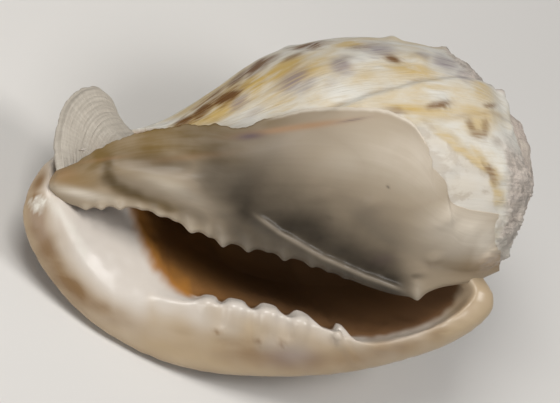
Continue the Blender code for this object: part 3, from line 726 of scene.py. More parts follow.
# Flames and spots. Those on the upper side have their own places, the rest run in rows.
flames = np.zeros(rings.shape)
outer = rings[:lip_start]
outer_flames = flames[:lip_start]
for column, spots in enumerate((BROWN_MARKS, GREY_MARKS, TAN_MARKS)):
    for spot_x, spot_y, long, wide, turned, strength in spots:
        away = np.hypot(outer[..., 0] - spot_x, outer[..., 1] - spot_y) - 0.02 * outer[..., 2]
        row, place = np.unravel_index(np.argmin(away), away.shape)
        first = np.array([cos(radians(turned)), sin(radians(turned)), 0.0])
        second = np.array([-sin(radians(turned)), cos(radians(turned)), 0.0])
        spot = strength * stain(outer, outer[row, place], first, second, long, wide)
        raise_to(outer_flames[..., column], spot)
rng = np.random.default_rng(31)
for row_share, steps in FLAME_ROWS:
    for step in range(int(-SHEET_TURN * steps)):
        at_turn = SHEET_TURN + (step + rng.uniform(0.2, 0.8)) / steps
        size = rng.uniform(0.6, 1.3)
        place = int((row_share + rng.uniform(-0.02, 0.02)) * (SHARES - 1))
        row = int(np.clip((at_turn - SHEET_TURN) / (LIP_TURN - SHEET_TURN), 0.0, 1.0) * (OUTER_ROWS - 2))
        centre = outer[row, place]
        if outward[row, place, 2] > -0.05 or at_turn > LIP_TURN - 0.03:
            continue
        first = across_wall[row, place]
        second = np.cross(outward[row, place], first)
        spot = rng.uniform(0.7, 1.0) * stain(outer, centre, first, second, 5.5 * size, 2.6 * size)
        column = 1 if rng.random() < 0.25 else 0
        raise_to(outer_flames[..., column], spot)
past = outer_turn[:-1] - VARIX_TURN + VARIX_LEAN * np.clip(share - VARIX_LEAN_FROM, 0.0, 1.0)
# Thin brown lines along the growth ridge's step: brown tint and painted shade in its crevice.
step_line_and_shade = hump(past, 0.010, 0.003) * (0.34 + 0.34 * ripple(share * 120.0, 0.0 * past, 9.0, 33))
step_line_and_shade += hump(past, -0.052, 0.003) * (0.3 + 0.35 * ripple(share * 120.0, 0.0 * past, 12.0, 34))
step_line_and_shade = 0.55 * np.clip(step_line_and_shade, 0.0, 0.8) * ramp(0.10, 0.16, share) * fall(0.58, 0.75, share)
raise_to(outer_flames[..., 0], step_line_and_shade)
# A tan band on the slope just before the ridge.
step_tan = 0.6 * ramp(-0.05, -0.02, past) * fall(-0.006, 0.004, past)
step_tan *= np.clip(0.5 + 0.5 * ripple(share * 120.0, 40.0 * past, 16.0, 35), 0.0, 1.0)
raise_to(outer_flames[..., 2], step_tan * ramp(0.13, 0.18, share))
raise_to(flames[..., 2], 0.5 * np.clip(over_all(seam), 0.0, 1.0))

# Tints of the enamel: tan by the rim, partly painted shade where the lip turns down; white in the bowl
# and by the teeth, and painted light on the steep inner band toward the broad end; a grey-lilac stain.
# White on the steep inner band, kept until about X 52, is painted light there as well as white enamel.
white_and_painted_light = ramp(0.44, 0.70, ring_round + 0.05 * ripple(x, y, 14.0, 42)) * (1.0 - 0.85 * ramp(52.0, 64.0, x))
white_and_painted_light = np.maximum(white_and_painted_light, ramp(-34.0, -46.0, x - 0.35 * y - 8.0) * ramp(0.4, 0.62, ring_round))
# The tan hump by the outer rim is partly painted shade where the lip turns down from the light.
tan = 0.8 * hump(ring_round, 0.27, 0.12) * (0.7 + 0.5 * ripple(x, y, 22.0, 41))
raise_to(tan, patches(x, y, LIP_TAN_AND_SHADE))
# The rim band: brown at the narrow end, painted shade along the lower rim.
band_share, band_side = from_line(RIM_BAND_AND_SHADE[:, :2], x, y)
band_strength = np.interp(band_share, np.linspace(0.0, 1.0, len(RIM_BAND_AND_SHADE)), RIM_BAND_AND_SHADE[:, 2])
rim_tan_and_shade = band_strength * hump(band_side + 0.5 * ripple(x, y, 9.0, 43), 1.2, 4.6)
tan = np.maximum(tan, rim_tan_and_shade * (1.0 + 0.15 * ripple(x, y, 14.0, 44)))
white_and_painted_light = white_and_painted_light * (1.0 - np.clip(tan, 0.0, 1.0))
lilac = 0.45 * hump(np.hypot(x - 4.0, (y + 55.0) * 2.0), 0.0, 9.0)
tan = np.clip(tan, 0.0, 1.0) * ramp(0.0, 0.1, ring_round)
enamel_tints_and_light = np.stack([tan, np.clip(white_and_painted_light, 0.0, 1.0), lilac], axis=-1)

values = {"coil": coil_place, "zone": zone, "flames": flames, "enamel_tints_and_light": enamel_tints_and_light, "wears": wears}
values = {label: data.transpose(1, 0, 2) for label, data in values.items()}
last_whorl = closed_mesh("last_whorl", rings.transpose(1, 0, 2), cap, values)


# Its surface. Streaks, lines and cords follow the growth of the shell and are shared by its pieces.
def noise(vector, size, detail=3.0, rough=0.5, twist=0.0):
    made = add_node(
        vector.id_data, "ShaderNodeTexNoise",
        {"Vector": vector, "Scale": size, "Detail": detail, "Roughness": rough, "Distortion": twist},
    )
    return made.outputs["Fac"]


def stretched(vector, *amounts):
    wires = {0: vector, 1: amounts}
    return add_node(vector.id_data, "ShaderNodeVectorMath", wires, operation="MULTIPLY").outputs[0]


def blend(amount, first, second):
    """From the first colour to the second by the amount."""
    first, second = ((*part, 1.0) if isinstance(part, tuple) else part for part in (first, second))
    wires = {0: amount, 6: first, 7: second}
    made = add_node(amount.id_data, "ShaderNodeMix", wires, data_type="RGBA", clamp_factor=True)
    return made.outputs[2]


def new_group(name, inputs, outputs):
    """A group of shader nodes whose sockets are given by name and kind."""
    group = bpy.data.node_groups.new(name, "ShaderNodeTree")
    for way, sockets in (("INPUT", inputs), ("OUTPUT", outputs)):
        for label, kind in sockets.items():
            group.interface.new_socket(label, in_out=way, socket_type="NodeSocket" + kind)
    return group, group.nodes.new("NodeGroupInput").outputs, group.nodes.new("NodeGroupOutput").inputs


def use_group(tree, group, wires):
    return add_node(tree, "ShaderNodeGroup", wires, node_tree=group).outputs


def read(tree, label):
    """A named vector kept on the points, and its three parts."""
    vector = add_node(tree, "ShaderNodeAttribute", attribute_name=label).outputs["Vector"]
    return vector, *add_node(tree, "ShaderNodeSeparateXYZ", {0: vector}).outputs


def new_paint(name):
    """A material, its nodes, its shader's sockets and the piece's own coordinates."""
    paint = bpy.data.materials.new(name)
    paint.use_nodes = True
    nodes = paint.node_tree.nodes
    place = nodes.new("ShaderNodeTexCoord").outputs["Object"]
    return paint, paint.node_tree, nodes["Principled BSDF"].inputs, place


def roughen(surface, height, strength, distance):
    """Relief too fine for the mesh."""
    wires = {"Height": height, "Strength": strength, "Distance": distance}
    wire(surface["Normal"], add_node(height.id_data, "ShaderNodeBump", wires).outputs["Normal"])


tree, given, made = new_group(
    "growth_marks",
    {"Coil": "Vector", "Place": "Vector"},
    {"Streaks": "Float", "Lines": "Float", "Cords": "Float", "Clouds": "Float"},
)
growth_group = tree
for label, stretch, detail, rough, twist in (
    ("Streaks", (26.0, 5.0, 0.0), 6.0, 0.62, 0.3),
    ("Lines", (230.0, 9.0, 0.0), 3.0, 0.55, 0.0),
    ("Cords", (9.0, 150.0, 0.0), 3.0, 0.5, 0.0),
):
    wire(made[label], noise(stretched(given["Coil"], *stretch), 1.0, detail, rough, twist))
wire(made["Clouds"], noise(given["Place"], 45.0, 3.0, 0.5))

# Outside: cream, warmer in streaks, with broken brown flames and grey-lilac spots.
CREAM = (0.67, 0.645, 0.58)
STRAW = (0.53, 0.37, 0.13)
BROWN = (0.145, 0.062, 0.014)
GREY_LILAC = (0.25, 0.205, 0.215)
THREAD = (0.44, 0.35, 0.22)
OLD_CALLUS = (0.68, 0.64, 0.575)
OLD_CALLUS_DULL = (0.50, 0.44, 0.37)
WORN_GREY = (0.33, 0.285, 0.25)
WORN_PINK = (0.57, 0.49, 0.43)
tree, given, made = new_group(
    "outside_colour",
    {"Flames": "Vector", "Place": "Vector", "Streaks": "Float", "Lines": "Float", "Clouds": "Float",
     "Old": "Float", "Worn": "Float"},
    {"Colour": "Color"},
)
outside_group = tree
place = given["Place"]
streaks = given["Streaks"]
lines = given["Lines"]
clouds = given["Clouds"]
brown, grey, straw = add_node(tree, "ShaderNodeSeparateXYZ", {0: given["Flames"]}).outputs
tone = math("MULTIPLY_ADD", clouds, 0.6, streaks)
colour = blend(soft(tone, 0.70, 1.05, 0.0, 0.55), CREAM, STRAW)
colour = blend(soft(lines, 0.50, 0.34, 0.0, 0.26), colour, THREAD)
broken = soft(streaks, 0.32, 0.54, 0.40, 1.3)
broken = times(broken, soft(lines, 0.36, 0.58, 0.70, 1.08))
fine = soft(lines, 0.35, 0.62, 0.55, 1.1)
colour = blend(times(straw, broken), colour, STRAW)
colour = blend(times(grey, fine, 0.85), colour, GREY_LILAC)
colour = blend(times(brown, broken, clamp=True), colour, BROWN)
dull = soft(noise(place, 110.0, 5.0, 0.65, 0.5), 0.44, 0.60, 0.0, 0.8)
old_colour = blend(dull, OLD_CALLUS, OLD_CALLUS_DULL)
colour = blend(times(given["Old"], 0.75), colour, old_colour)
pits = noise(stretched(place, 330.0, 330.0, 330.0), 1.0, 4.0, 0.6)
worn_tone = soft(math("MULTIPLY_ADD", lines, 0.5, pits), 0.58, 0.92)
worn_colour = blend(worn_tone, WORN_GREY, WORN_PINK)
worn_colour = blend(soft(clouds, 0.5, 0.68, 0.0, 0.7), worn_colour, CREAM)
colour = blend(times(given["Worn"], 0.85), colour, worn_colour)
wire(made["Colour"], colour)

# Enamel of the lip: cream and tan bands, white on the teeth and in the bowl. Some of the tan is painted
# shade and some of the white painted light.
ENAMEL = (0.51, 0.39, 0.25)
ENAMEL_TAN = (0.25, 0.15, 0.07)
ENAMEL_WHITE = (0.67, 0.61, 0.545)
LILAC_STAIN = (0.36, 0.32, 0.33)
tree, given, made = new_group(
    "enamel_colour", {"Tints And Light": "Vector", "Place": "Vector"}, {"Colour": "Color"},
)
enamel_group = tree
tan, white_and_painted_light, lilac = add_node(tree, "ShaderNodeSeparateXYZ", {0: given["Tints And Light"]}).outputs
wisps = noise(stretched(given["Place"], 22.0, 60.0, 60.0), 1.0, 4.0, 0.55, 0.6)
tan = times(tan, soft(wisps, 0.3, 0.62, 0.75, 1.15))
colour = blend(tan, ENAMEL, ENAMEL_TAN)
colour = blend(white_and_painted_light, colour, ENAMEL_WHITE)
colour = blend(lilac, colour, LILAC_STAIN)
wire(made["Colour"], colour)

# The dark inside, amber where it starts.
AMBER = (0.42, 0.185, 0.04)
DEEP_BROWN = (0.17, 0.095, 0.05)
INSIDE_STREAK = (0.16, 0.07, 0.03)
CHALK = (0.70, 0.66, 0.58)

wall_paint, tree, surface, place = new_paint("last_whorl")
coil_at = read(tree, "coil")[0]
is_enamel, is_dark, is_old = read(tree, "zone")[1:]
is_amber, is_worn, is_chalk = read(tree, "wears")[1:]
growth = use_group(tree, growth_group, {"Coil": coil_at, "Place": place})
outside_colour = use_group(tree, outside_group, {
    "Flames": read(tree, "flames")[0], "Place": place, "Streaks": growth["Streaks"],
    "Lines": growth["Lines"], "Clouds": growth["Clouds"], "Old": is_old, "Worn": is_worn,
})["Colour"]
enamel_colour = use_group(tree, enamel_group, {"Tints And Light": read(tree, "enamel_tints_and_light")[0], "Place": place})["Colour"]
inside_colour = blend(is_amber, DEEP_BROWN, AMBER)
inside_streaks = soft(growth["Streaks"], 0.45, 0.7, 0.0, 0.4)
inside_colour = blend(inside_streaks, inside_colour, INSIDE_STREAK)
colour = blend(is_enamel, outside_colour, enamel_colour)
colour = blend(is_dark, colour, inside_colour)
dapple = soft(noise(place, 320.0, 3.0, 0.6), 0.40, 0.60, 0.6, 1.0)
chalk_here = times(is_chalk, dapple)
colour = blend(chalk_here, colour, CHALK)
wire(surface["Base Color"], colour)
bare = math("SUBTRACT", 1.0, is_enamel)
satin = math("MULTIPLY_ADD", bare, soft(growth["Streaks"], 0.3, 0.7, 0.14, 0.26), 0.29)
wire(surface["Roughness"], math("MULTIPLY_ADD", chalk_here, 0.3, satin))
fine = math("MULTIPLY_ADD", growth["Cords"], 0.10, growth["Lines"])
fine = times(fine, math("MULTIPLY_ADD", is_old, -0.7, 1.0))
grain = noise(place, 800.0, 4.0, 0.6)
fine = math("MULTIPLY_ADD", grain, times(is_worn, 2.0), fine)
roughen(surface, times(fine, bare), 0.7, 0.0005)
wire(surface["Specular IOR Level"], math("MULTIPLY_ADD", bare, -0.32, 0.5))
surface["Coat Weight"].default_value = 0.10
surface["Coat Roughness"].default_value = 0.22
last_whorl.data.materials.append(wall_paint)
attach(last_whorl, "root")
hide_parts("helmet_shell")

# SPIRE
# The older whorls, bare shell worn grey and rough, wind up to the tip in a low cone of shoulders
# and knobs. The last whorl grew on from them, and inside it they stop where its hollow stops.
FIRST_TURN = -5.2
PLUG_TURN = -1.30
SPIRE_ROWS = 560
SPIRE_SHARES = 98
SPIRE_BIAS = 1.5
# The cords of the shoulder, and the rows over which the inner end closes in.
SPIRE_CORDS = 38.0
CLOSING_ROWS = 14

spire_turn = np.linspace(FIRST_TURN, PLUG_TURN, SPIRE_ROWS)[:, None]
spire_share = np.linspace(0.0, 1.0, SPIRE_SHARES) ** SPIRE_BIAS
wall = coiled_wall(FIRST_TURN, PLUG_TURN, SPIRE_ROWS, SPIRE_SHARES, SPIRE_BIAS, 0.0)
grown = GROWTH**spire_turn
worn = 0.5 * ripple(spire_turn * 70.0, spire_share * 60.0, 3.0, 51) * grown
worn += 0.45 * np.sin(spire_share * 2.0 * pi * SPIRE_CORDS) * grown * fall(0.3, 0.4, spire_share)
wall = wall + normals(wall) * worn[..., None]
axis_top = APEX - 11.0 * grown[:, None] * AXIS
axis_end = APEX - 198.0 * grown[:, None] * AXIS
rings = np.concatenate([axis_top, wall, axis_end], axis=1)
for step in range(CLOSING_ROWS):
    middle = rings[-1 - step].mean(axis=0)
    fill = np.sqrt(1.0 - (1.0 - (step + 0.3) / CLOSING_ROWS) ** 2)
    rings[-1 - step] = middle + (rings[-1 - step] - middle) * fill
columns = SPIRE_SHARES + 2
spire_place = np.zeros(rings.shape)
spire_place[..., 0] = spire_turn
spire_place[..., 1] = np.concatenate([[0.0], spire_share, [1.0]])
cap = np.concatenate([np.arange(columns // 2), np.arange(columns // 2)[::-1]]).astype(float)
cap[columns // 2 - 1] += 0.5
spire = closed_mesh("spire", rings, cap, {"coil": spire_place})

SPIRE_GREY = (0.38, 0.335, 0.285)
SPIRE_PINK = (0.54, 0.46, 0.40)
SPIRE_STREAK = (0.66, 0.60, 0.50)
SPIRE_PIT = (0.20, 0.16, 0.14)
spire_paint, tree, surface, place = new_paint("spire")
coil_at, coil_turn, coil_share = read(tree, "coil")[:3]
growth = use_group(tree, growth_group, {"Coil": coil_at, "Place": place})
colour = blend(soft(growth["Clouds"], 0.4, 0.65), SPIRE_GREY, SPIRE_PINK)
colour = blend(soft(growth["Streaks"], 0.42, 0.7, 0.0, 0.6), colour, SPIRE_STREAK)
pits = soft(noise(place, 420.0, 4.0, 0.6), 0.52, 0.75, 0.0, 0.55)
colour = blend(pits, colour, SPIRE_PIT)
deep_inside = times(soft(coil_share, 0.25, 0.30), soft(coil_turn, -1.9, -1.6))
colour = blend(soft(deep_inside, 0.3, 0.7), colour, DEEP_BROWN)
wire(surface["Base Color"], colour)
surface["Roughness"].default_value = 0.55
grain = noise(place, 900.0, 4.0, 0.6)
fine = math("ADD", math("MULTIPLY_ADD", growth["Cords"], 0.8, growth["Lines"]), grain)
roughen(surface, fine, 0.8, 0.0006)
spire.data.materials.append(spire_paint)
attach(spire, "root")
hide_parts("helmet_shell")

# SHIELD
# A broad plate of callus laid over the near side of the last whorl, thick and free along its
# toothed edge, thin and ragged along the other. Stains show through its glossy grey-beige, and
# painted shade darkens its lower part, with a painted highlight along part of its ragged edge.
SHIELD_LONG = 280
SHIELD_WIDE = 96
# The rows of the last whorl that can lie below it.
ROWS_BELOW = slice(77, 292)
EVENING_PASSES = 90
RIM_LIFT = 2.2
RIDGE_HEIGHT = 2.0
FOLD_HEIGHT = 2.2
GROOVE_DEPTH = 1.6
# Its thickness at the free edge, what the toothed edge adds, and what the pillar below adds.
THINNEST = 1.6
EDGE_ADDS = 1.4
PILLAR_ADDS = 12.0
ROUNDED_MOST = 1.6
ABOVE_ALL = 200.0
DOWN = Vector((0.0, 0.0, -1.0))
# Its edge away from the lip, its toothed edge, and the heights between them, all by share.
SHIELD_TOP = np.array([
    (0.00, -79.5, 11, 33), (0.05, -71, 14.5, 34), (0.12, -61.5, 20.5, 34), (0.20, -50, 24.3, 32),
    (0.28, -36, 26.8, 30), (0.36, -23.7, 27.5, 28), (0.42, -14, 26.3, 27), (0.48, -3, 30, 26),
    (0.55, 9.8, 33, 24), (0.62, 22, 33.6, 19), (0.70, 36, 33, 12), (0.76, 45, 29.5, 9),
    (0.81, 51, 23.5, 7), (0.85, 53.6, 17.5, 6.5), (0.885, 54.8, 12, 6), (0.91, 58.6, 8.4, 4.5),
    (0.935, 60.2, 1.5, 2.5), (0.96, 65.5, -2, -2), (1.00, 79.6, -4.6, -14),
])
SHIELD_TEETH_EDGE = np.array([
    (0.00, -78.5, 0.5, 32), (0.05, -71, -2, 31), (0.12, -61, -1.8, 30), (0.20, -49, -2.7, 29),
    (0.28, -38, -6.5, 27), (0.36, -27, -11.5, 25), (0.42, -17, -15, 23), (0.48, -6, -17.5, 20),
    (0.55, 7, -21, 17), (0.62, 20, -26, 13), (0.70, 33, -31, 9), (0.76, 42, -33.6, 5),
    (0.82, 49.5, -34, 1), (0.88, 58, -31, -4), (0.94, 70, -29, -11), (1.00, 79.6, -25.2, -18),
])
SHIELD_HEIGHTS = np.array([
    (0.00, 36, 35), (0.12, 36, 34), (0.20, 35.5, 33.5), (0.28, 34, 32.5), (0.36, 33, 31),
    (0.42, 32.5, 30), (0.48, 32, 28), (0.55, 30, 25.5), (0.62, 26, 22), (0.70, 20, 17), (0.76, 16, 12.5),
    (0.82, 12, 8), (0.88, 9, 3), (0.94, 4, -6), (1.00, -12, -15),
])
# Teeth: place along the shield, height, half width and how far the rib above each one runs.
SHIELD_TEETH = (
    (-69, 1, 1.7, 2), (-63.5, 1.2, 1.6, 2), (-57, 1.2, 1.8, 2.5), (-49.3, 0.5, 1.6, 2),
    (-43, 0.9, 1.9, 3), (-37.5, 0.4, 1.4, 2), (-32, 1.9, 2.2, 5), (-25.5, 0.7, 1.5, 4),
    (-20.5, 2.4, 2.1, 7), (-11.5, 1.9, 2, 8), (-4.5, 0.4, 1.4, 4), (1.4, 1.9, 2, 8), (11, 1.1, 1.8, 6),
    (17, 0.5, 1.4, 4), (23, 0.5, 1.4, 4), (49.5, 1.6, 2, 3),
)
SHIELD_RIDGE = np.array([(-11.0, -3.3), (-0.5, -11.0), (15.0, -20.0), (30.3, -26.8), (47.0, -33.0)])
SHIELD_FOLD = np.array([(-59.0, 10.5), (-46.8, 8.5), (-29.0, 4.0), (-12.0, -5.0)])
SHIELD_GROOVE = np.array([(-61.0, 6.0), (-54.0, 2.2), (-44.0, 0.5), (-32.0, -4.0)])
# Stains: X, Y, half length, half width, angle, strength.
OLIVE_STAINS = (
    (-50.4, 18.3, 28.8, 7.6, 6, 1), (-23.4, 23.4, 18, 5.4, 8, 0.9), (-66.6, 15.4, 14.4, 4.8, 12, 0.8),
    (-5.4, 27.5, 10.8, 2.9, 8, 0.5),
)
# Several dark ones, along and below the ridge, are painted shade as much as stain.
DARK_STAINS_AND_SHADE = (
    (48.6, -26.8, 3.6, 1.4, 0, 0.6), (-17.3, 18.5, 10, 1.6, 4, 0.5), (38.5, 5.2, 0.7, 0.6, 0, 0.8),
    (-38, 13, 20, 3.8, -6, 0.5), (-30, -5, 10, 3.4, -24, 0.45), (31, -20.5, 8, 4.2, -25, 0.95),
    (-13, 15, 10, 4.5, 0, 0.48), (17, -6, 7, 4, -25, 0.75), (10.5, -19, 16, 3.2, -20, 0.85),
    (29, -28, 11, 2.6, -20, 0.8),
)
# The two on the right edge, at X 66 and 74, are pale colour with painted light where that side turns from
# the lamps.
PALE_STAINS_AND_LIGHT = (
    (45, 14.1, 22, 11, -20, 0.62), (66, -9.4, 13, 9.4, 0, 1.1), (-38.5, 5.2, 13, 2.8, -25, 0.6),
    (-70.2, 2.6, 10.8, 1.8, -12, 1), (74, -14, 6, 9, 0, 1.2), (21, 15, 18, 7, -10, 0.4),
)
ORANGE_STAINS = (
    (7.2, 26.5, 18.7, 1.2, 8, 0.7), (-76.9, 9.9, 4.8, 2.6, 10, 0.3), (76, -22, 6, 3, 15, 0.35),
    (-63, 14.9, 10.8, 0.7, 8, 0.3), (-32.4, 15.7, 14.4, 1.4, 6, 0.2),
)
PURPLE_STAINS = (
    (-10.8, 23.2, 5, 1.4, 5, 0.9), (25.9, 29, 5, 0.4, 10, 0.7), (37.1, -20.7, 4.3, 2.2, 10, 0.3),
)
TAN_STAINS = (
    (74.9, -21.8, 12.2, 5.8, 8, 0.9), (15.1, 16.7, 7.9, 3.2, 0, 0.4), (-74, 7.5, 12, 5, -6, 0.95),
)
# Painted shade, with some stain: the shield darkens toward this line, over the distance in the
# third column, and stays dark below.
SHADE_LINE = np.array([
    (-24, 4.5, 24), (-11, -1.5, 26), (3.6, -8.5, 20), (18, -15, 16), (32.4, -22.5, 14), (46, -28.5, 9),
])
# Brown stain and painted shade in the hollow round the end of the fold and below it, each row a point.
FOLD_SHADE = np.array([
    (-60.5, 14), (-61, 9), (-58.5, 5.5), (-51, 2.2), (-41, -1.5), (-31, -4.5),
])

ground = outside[ROWS_BELOW]
ground_tree = BVHTree.FromPolygons(
    ground.reshape(-1, 3).tolist(), grid_faces(len(ground), SHARES, False),
)
# a runs along the shield, and b across it from its ragged edge to its toothed one.
a, b = np.broadcast_arrays(
    np.linspace(0.0, 1.0, SHIELD_LONG)[:, None],
    (0.5 - 0.5 * np.cos(pi * np.linspace(0.0, 1.0, SHIELD_WIDE)))[None, :],
)
b = 0.35 * b + 0.65 * np.linspace(0.0, 1.0, SHIELD_WIDE)[None, :]
a = a.copy()
top = guide(SHIELD_TOP, a)
low = guide(SHIELD_TEETH_EDGE, a)
high = guide(SHIELD_HEIGHTS, a)
jagged = 0.45 * ripple(a * 190.0, 0.0 * a, 9.0, 61) + 0.3 * ripple(a * 190.0, 0.0 * a, 3.0, 62)
jagged = jagged * (0.35 + 0.65 * np.maximum(fall(0.42, 0.5, a), ramp(0.76, 0.82, a)))
jagged = jagged * ramp(0.0, 0.05, a) * fall(0.95, 1.0, a)
top[..., 2] += RIM_LIFT * fall(0.40, 0.50, a) * ramp(0.0, 0.08, a)
front = top * (1.0 - b[..., None]) + low * b[..., None]
# Views of the front's points, so what changes them changes the front.
x, y, z = front[..., 0], front[..., 1], front[..., 2]
jagged = jagged * fall(0.0, 0.07, b)
y += jagged * (1.0 - 0.8 * ramp(0.82, 0.9, a))
x += jagged * ramp(0.76, 0.86, a)
x -= 3.0 * np.sin(pi * b) * fall(0.0, 0.05, a)
for tooth_x, size, width, rib in SHIELD_TEETH:
    y -= size * hump(x, tooth_x, width) * ramp(0.88, 1.0, b)
levels = np.stack([top[..., 2], high[..., 0], high[..., 1], low[..., 2]], axis=-1)
stations = np.array([0.0, 0.3, 0.7, 1.0])
for i in range(SHIELD_LONG):
    z[i] = spline(stations, levels[i, 0][:, None], b[i])[:, 0]
below = y - guide(SHIELD_TEETH_EDGE, a)[..., 1]
for tooth_x, size, width, rib in SHIELD_TEETH:
    z += 0.5 * size * hump(x, tooth_x, width) * ramp(0.8, 0.97, b)
    rib_here = hump(x + 0.25 * below, tooth_x, 1.2 * width) * fall(0.2 * rib, 1.2 * rib, below)
    z += 0.16 * size * rib_here
reach, side = from_line(SHIELD_RIDGE, x, y)
on_ridge = ramp(0.0, 0.15, reach) * fall(0.9, 1.0, reach)
crest = np.where(side > 0.0, hump(side, 0.0, 1.5), hump(side, 0.0, 3.2))
ridge_line = hump(side, 0.0, 0.8) * on_ridge
z += RIDGE_HEIGHT * crest * on_ridge
reach, side = from_line(SHIELD_FOLD, x, y)
z += FOLD_HEIGHT * hump(side, 0.0, 4.2) * fall(0.5, 1.0, reach)
reach, side = from_line(SHIELD_GROOVE, x, y)
z -= GROOVE_DEPTH * hump(side, 0.0, 3.4) * fall(0.5, 1.0, reach)
z += 0.12 * ripple(x * 0.35, y, 5.0, 63) * ramp(0.0, 0.1, b)
# Thin where it is spread on the whorl, thick over the pillar, free in between.
thin = np.maximum(ramp(0.74, 0.84, a) * fall(0.0, 0.5, b), ramp(0.94, 1.0, a) * fall(0.5, 0.7, b))
callus = (1.1 + 1.2 * ramp(0.0, 0.12, b)) * (1.0 - thin) + 0.3 * thin
root = ramp(0.06, 0.3, b) * fall(0.62, 0.9, b)
thick = THINNEST + EDGE_ADDS * ramp(0.6, 1.0, b) + PILLAR_ADDS * root
floor_under = np.full(a.shape, -1e9)
for i in range(SHIELD_LONG):
    for j in range(SHIELD_WIDE):
        hit = ground_tree.ray_cast(Vector((x[i, j], y[i, j], ABOVE_ALL)), DOWN)[0]
        if hit is not None:
            free = z[i, j]
            laid = hit.z + callus[i, j]
            floor_under[i, j] = hit.z
            over = 0.5 * (free + laid + np.hypot(free - laid, 1.5))
            z[i, j] = over + (laid - over) * thin[i, j]
            gap = z[i, j] - hit.z + 1.0
            thick[i, j] += max(gap - thick[i, j], 0.0) * min(2.0 * root[i, j], 1.0)
# The callus evens out the growth ridge below it.
evened = ramp(0.42, 0.50, a) * fall(0.74, 0.80, a) * ramp(0.01, 0.05, b) * fall(0.35, 0.5, b)
for _ in range(EVENING_PASSES):
    mean = 0.25 * sum(np.roll(z, way, side) for side in (0, 1) for way in (1, -1))
    z += evened * (mean - z)
raise_to(z, floor_under + 0.4 * callus)
edge = np.minimum(np.minimum(b / 0.012, (1.0 - b) / 0.03), 1.0)
edge = np.minimum(edge, np.minimum(a / 0.012, (1.0 - a) / 0.012))
rounded = 0.5 * thick * (1.0 - np.sqrt(np.clip(1.0 - (1.0 - edge) ** 2, 0.0, 1.0)))
rounded = np.minimum(rounded, ROUNDED_MOST)
back = front.copy()
back[..., 2] -= thick - rounded
z -= rounded

olive, dark, pale = (patches(x, y, spots) for spots in (OLIVE_STAINS, DARK_STAINS_AND_SHADE, PALE_STAINS_AND_LIGHT))
warm = np.stack([patches(x, y, spots) for spots in (ORANGE_STAINS, PURPLE_STAINS, TAN_STAINS)], axis=-1)
# Painted shade, partly stain, over the lower part of the shield: darkest along the ridge line and below it.
reach, side = from_line(SHADE_LINE[:, :2], x, y)
fading = np.interp(reach, np.linspace(0.0, 1.0, len(SHADE_LINE)), SHADE_LINE[:, 2])
uneven = side + 1.2 * ripple(x, y, 22.0, 64)
above = np.exp(-((np.abs(uneven) / fading) ** 1.3))
stain_and_painted_shade = np.where(uneven > 0.0, above, 1.0 - 0.28 * ramp(2.0, 7.0, -uneven) * (1.0 - reach))
stain_and_painted_shade = stain_and_painted_shade * ramp(-43.0, -14.0, x + 0.4 * (y - 4.0) + 2.5 * ripple(x, y, 16.0, 67))
raise_to(dark, stain_and_painted_shade * fall(40.0, 54.0, x))
# Painted shade, brownish, in the hollow at the fold's end and under the fold.
reach, side = from_line(FOLD_SHADE, x, y)
fold_shadow = 0.9 * hump(side + 0.4 * ripple(x, y, 6.0, 66), 0.0, 2.8 - 1.0 * reach) * fall(0.8, 1.0, reach)
raise_to(olive, fold_shadow)
raise_to(dark, 0.45 * fold_shadow)
flange = fall(0.22, 0.45, b) * fall(0.36, 0.48, a) * ramp(0.02, 0.10, a)
raise_to(olive, flange * (0.92 + 0.12 * ripple(x * 0.4, y * 1.5, 9.0, 65)))
dark *= 1.0 - 0.45 * np.clip(ridge_line, 0.0, 1.0)
raise_to(pale, 0.4 * ridge_line)
# A painted highlight along the rounded ragged edge, on its right half.
raise_to(pale, 1.3 * fall(0.004, 0.03, b) * ramp(0.46, 0.5, a) * fall(0.80, 0.86, a))
for tooth_x, size, width, rib in SHIELD_TEETH:
    raise_to(pale, min(size, 1.2) * 0.3 * hump(x, tooth_x, width) * ramp(0.86, 0.97, b))
# These masks carry the shield's stains and also its painted shade and painted highlight.
stains_and_painted_light = np.stack([olive, dark, pale], axis=-1)
around_plate = np.stack([a, b + 0.0 * a, 0.0 * a], axis=-1)
under_plate = around_plate + np.array([0.0, 0.0, 1.0])
values = {
    "plate": np.concatenate([around_plate, under_plate[:, ::-1]], axis=1),
    "stains_and_painted_light": np.concatenate([stains_and_painted_light, stains_and_painted_light[:, ::-1]], axis=1),
    "warm": np.concatenate([warm, warm[:, ::-1]], axis=1),
}
cap = np.concatenate([b[0], b[0, ::-1]])
cap[SHIELD_WIDE - 1] += 0.01
shield = closed_mesh("shield", np.concatenate([front, back[:, ::-1]], axis=1), cap, values)

SHIELD_BEIGE = (0.37, 0.297, 0.21)
SHIELD_BEIGE_DEEP = (0.325, 0.258, 0.185)
SHIELD_PALE = (0.68, 0.605, 0.50)
SHIELD_DARK = (0.040, 0.031, 0.021)
SHIELD_OLIVE = (0.17, 0.103, 0.024)
SHIELD_ORANGE = (0.34, 0.18, 0.08)
SHIELD_PURPLE = (0.10, 0.065, 0.065)
SHIELD_TAN = (0.28, 0.185, 0.085)
shield_paint, tree, surface, place = new_paint("shield")
plate_at, _, plate_across, is_under = read(tree, "plate")
olive, dark, pale = read(tree, "stains_and_painted_light")[1:]
orange, purple, tan = read(tree, "warm")[1:]
wisps = noise(stretched(plate_at, 6.0, 26.0, 0.0), 1.0, 4.0, 0.5, 0.4)
mottle = noise(place, 55.0, 3.0, 0.5)
broken = math("MULTIPLY_ADD", mottle, 0.8, times(wisps, 0.3))
broken = soft(broken, 0.40, 0.70, 0.70, 1.10)
colour = blend(soft(mottle, 0.38, 0.68, 0.0, 0.35), SHIELD_BEIGE, SHIELD_BEIGE_DEEP)
even = soft(mottle, 0.3, 0.7, 0.90, 1.04)
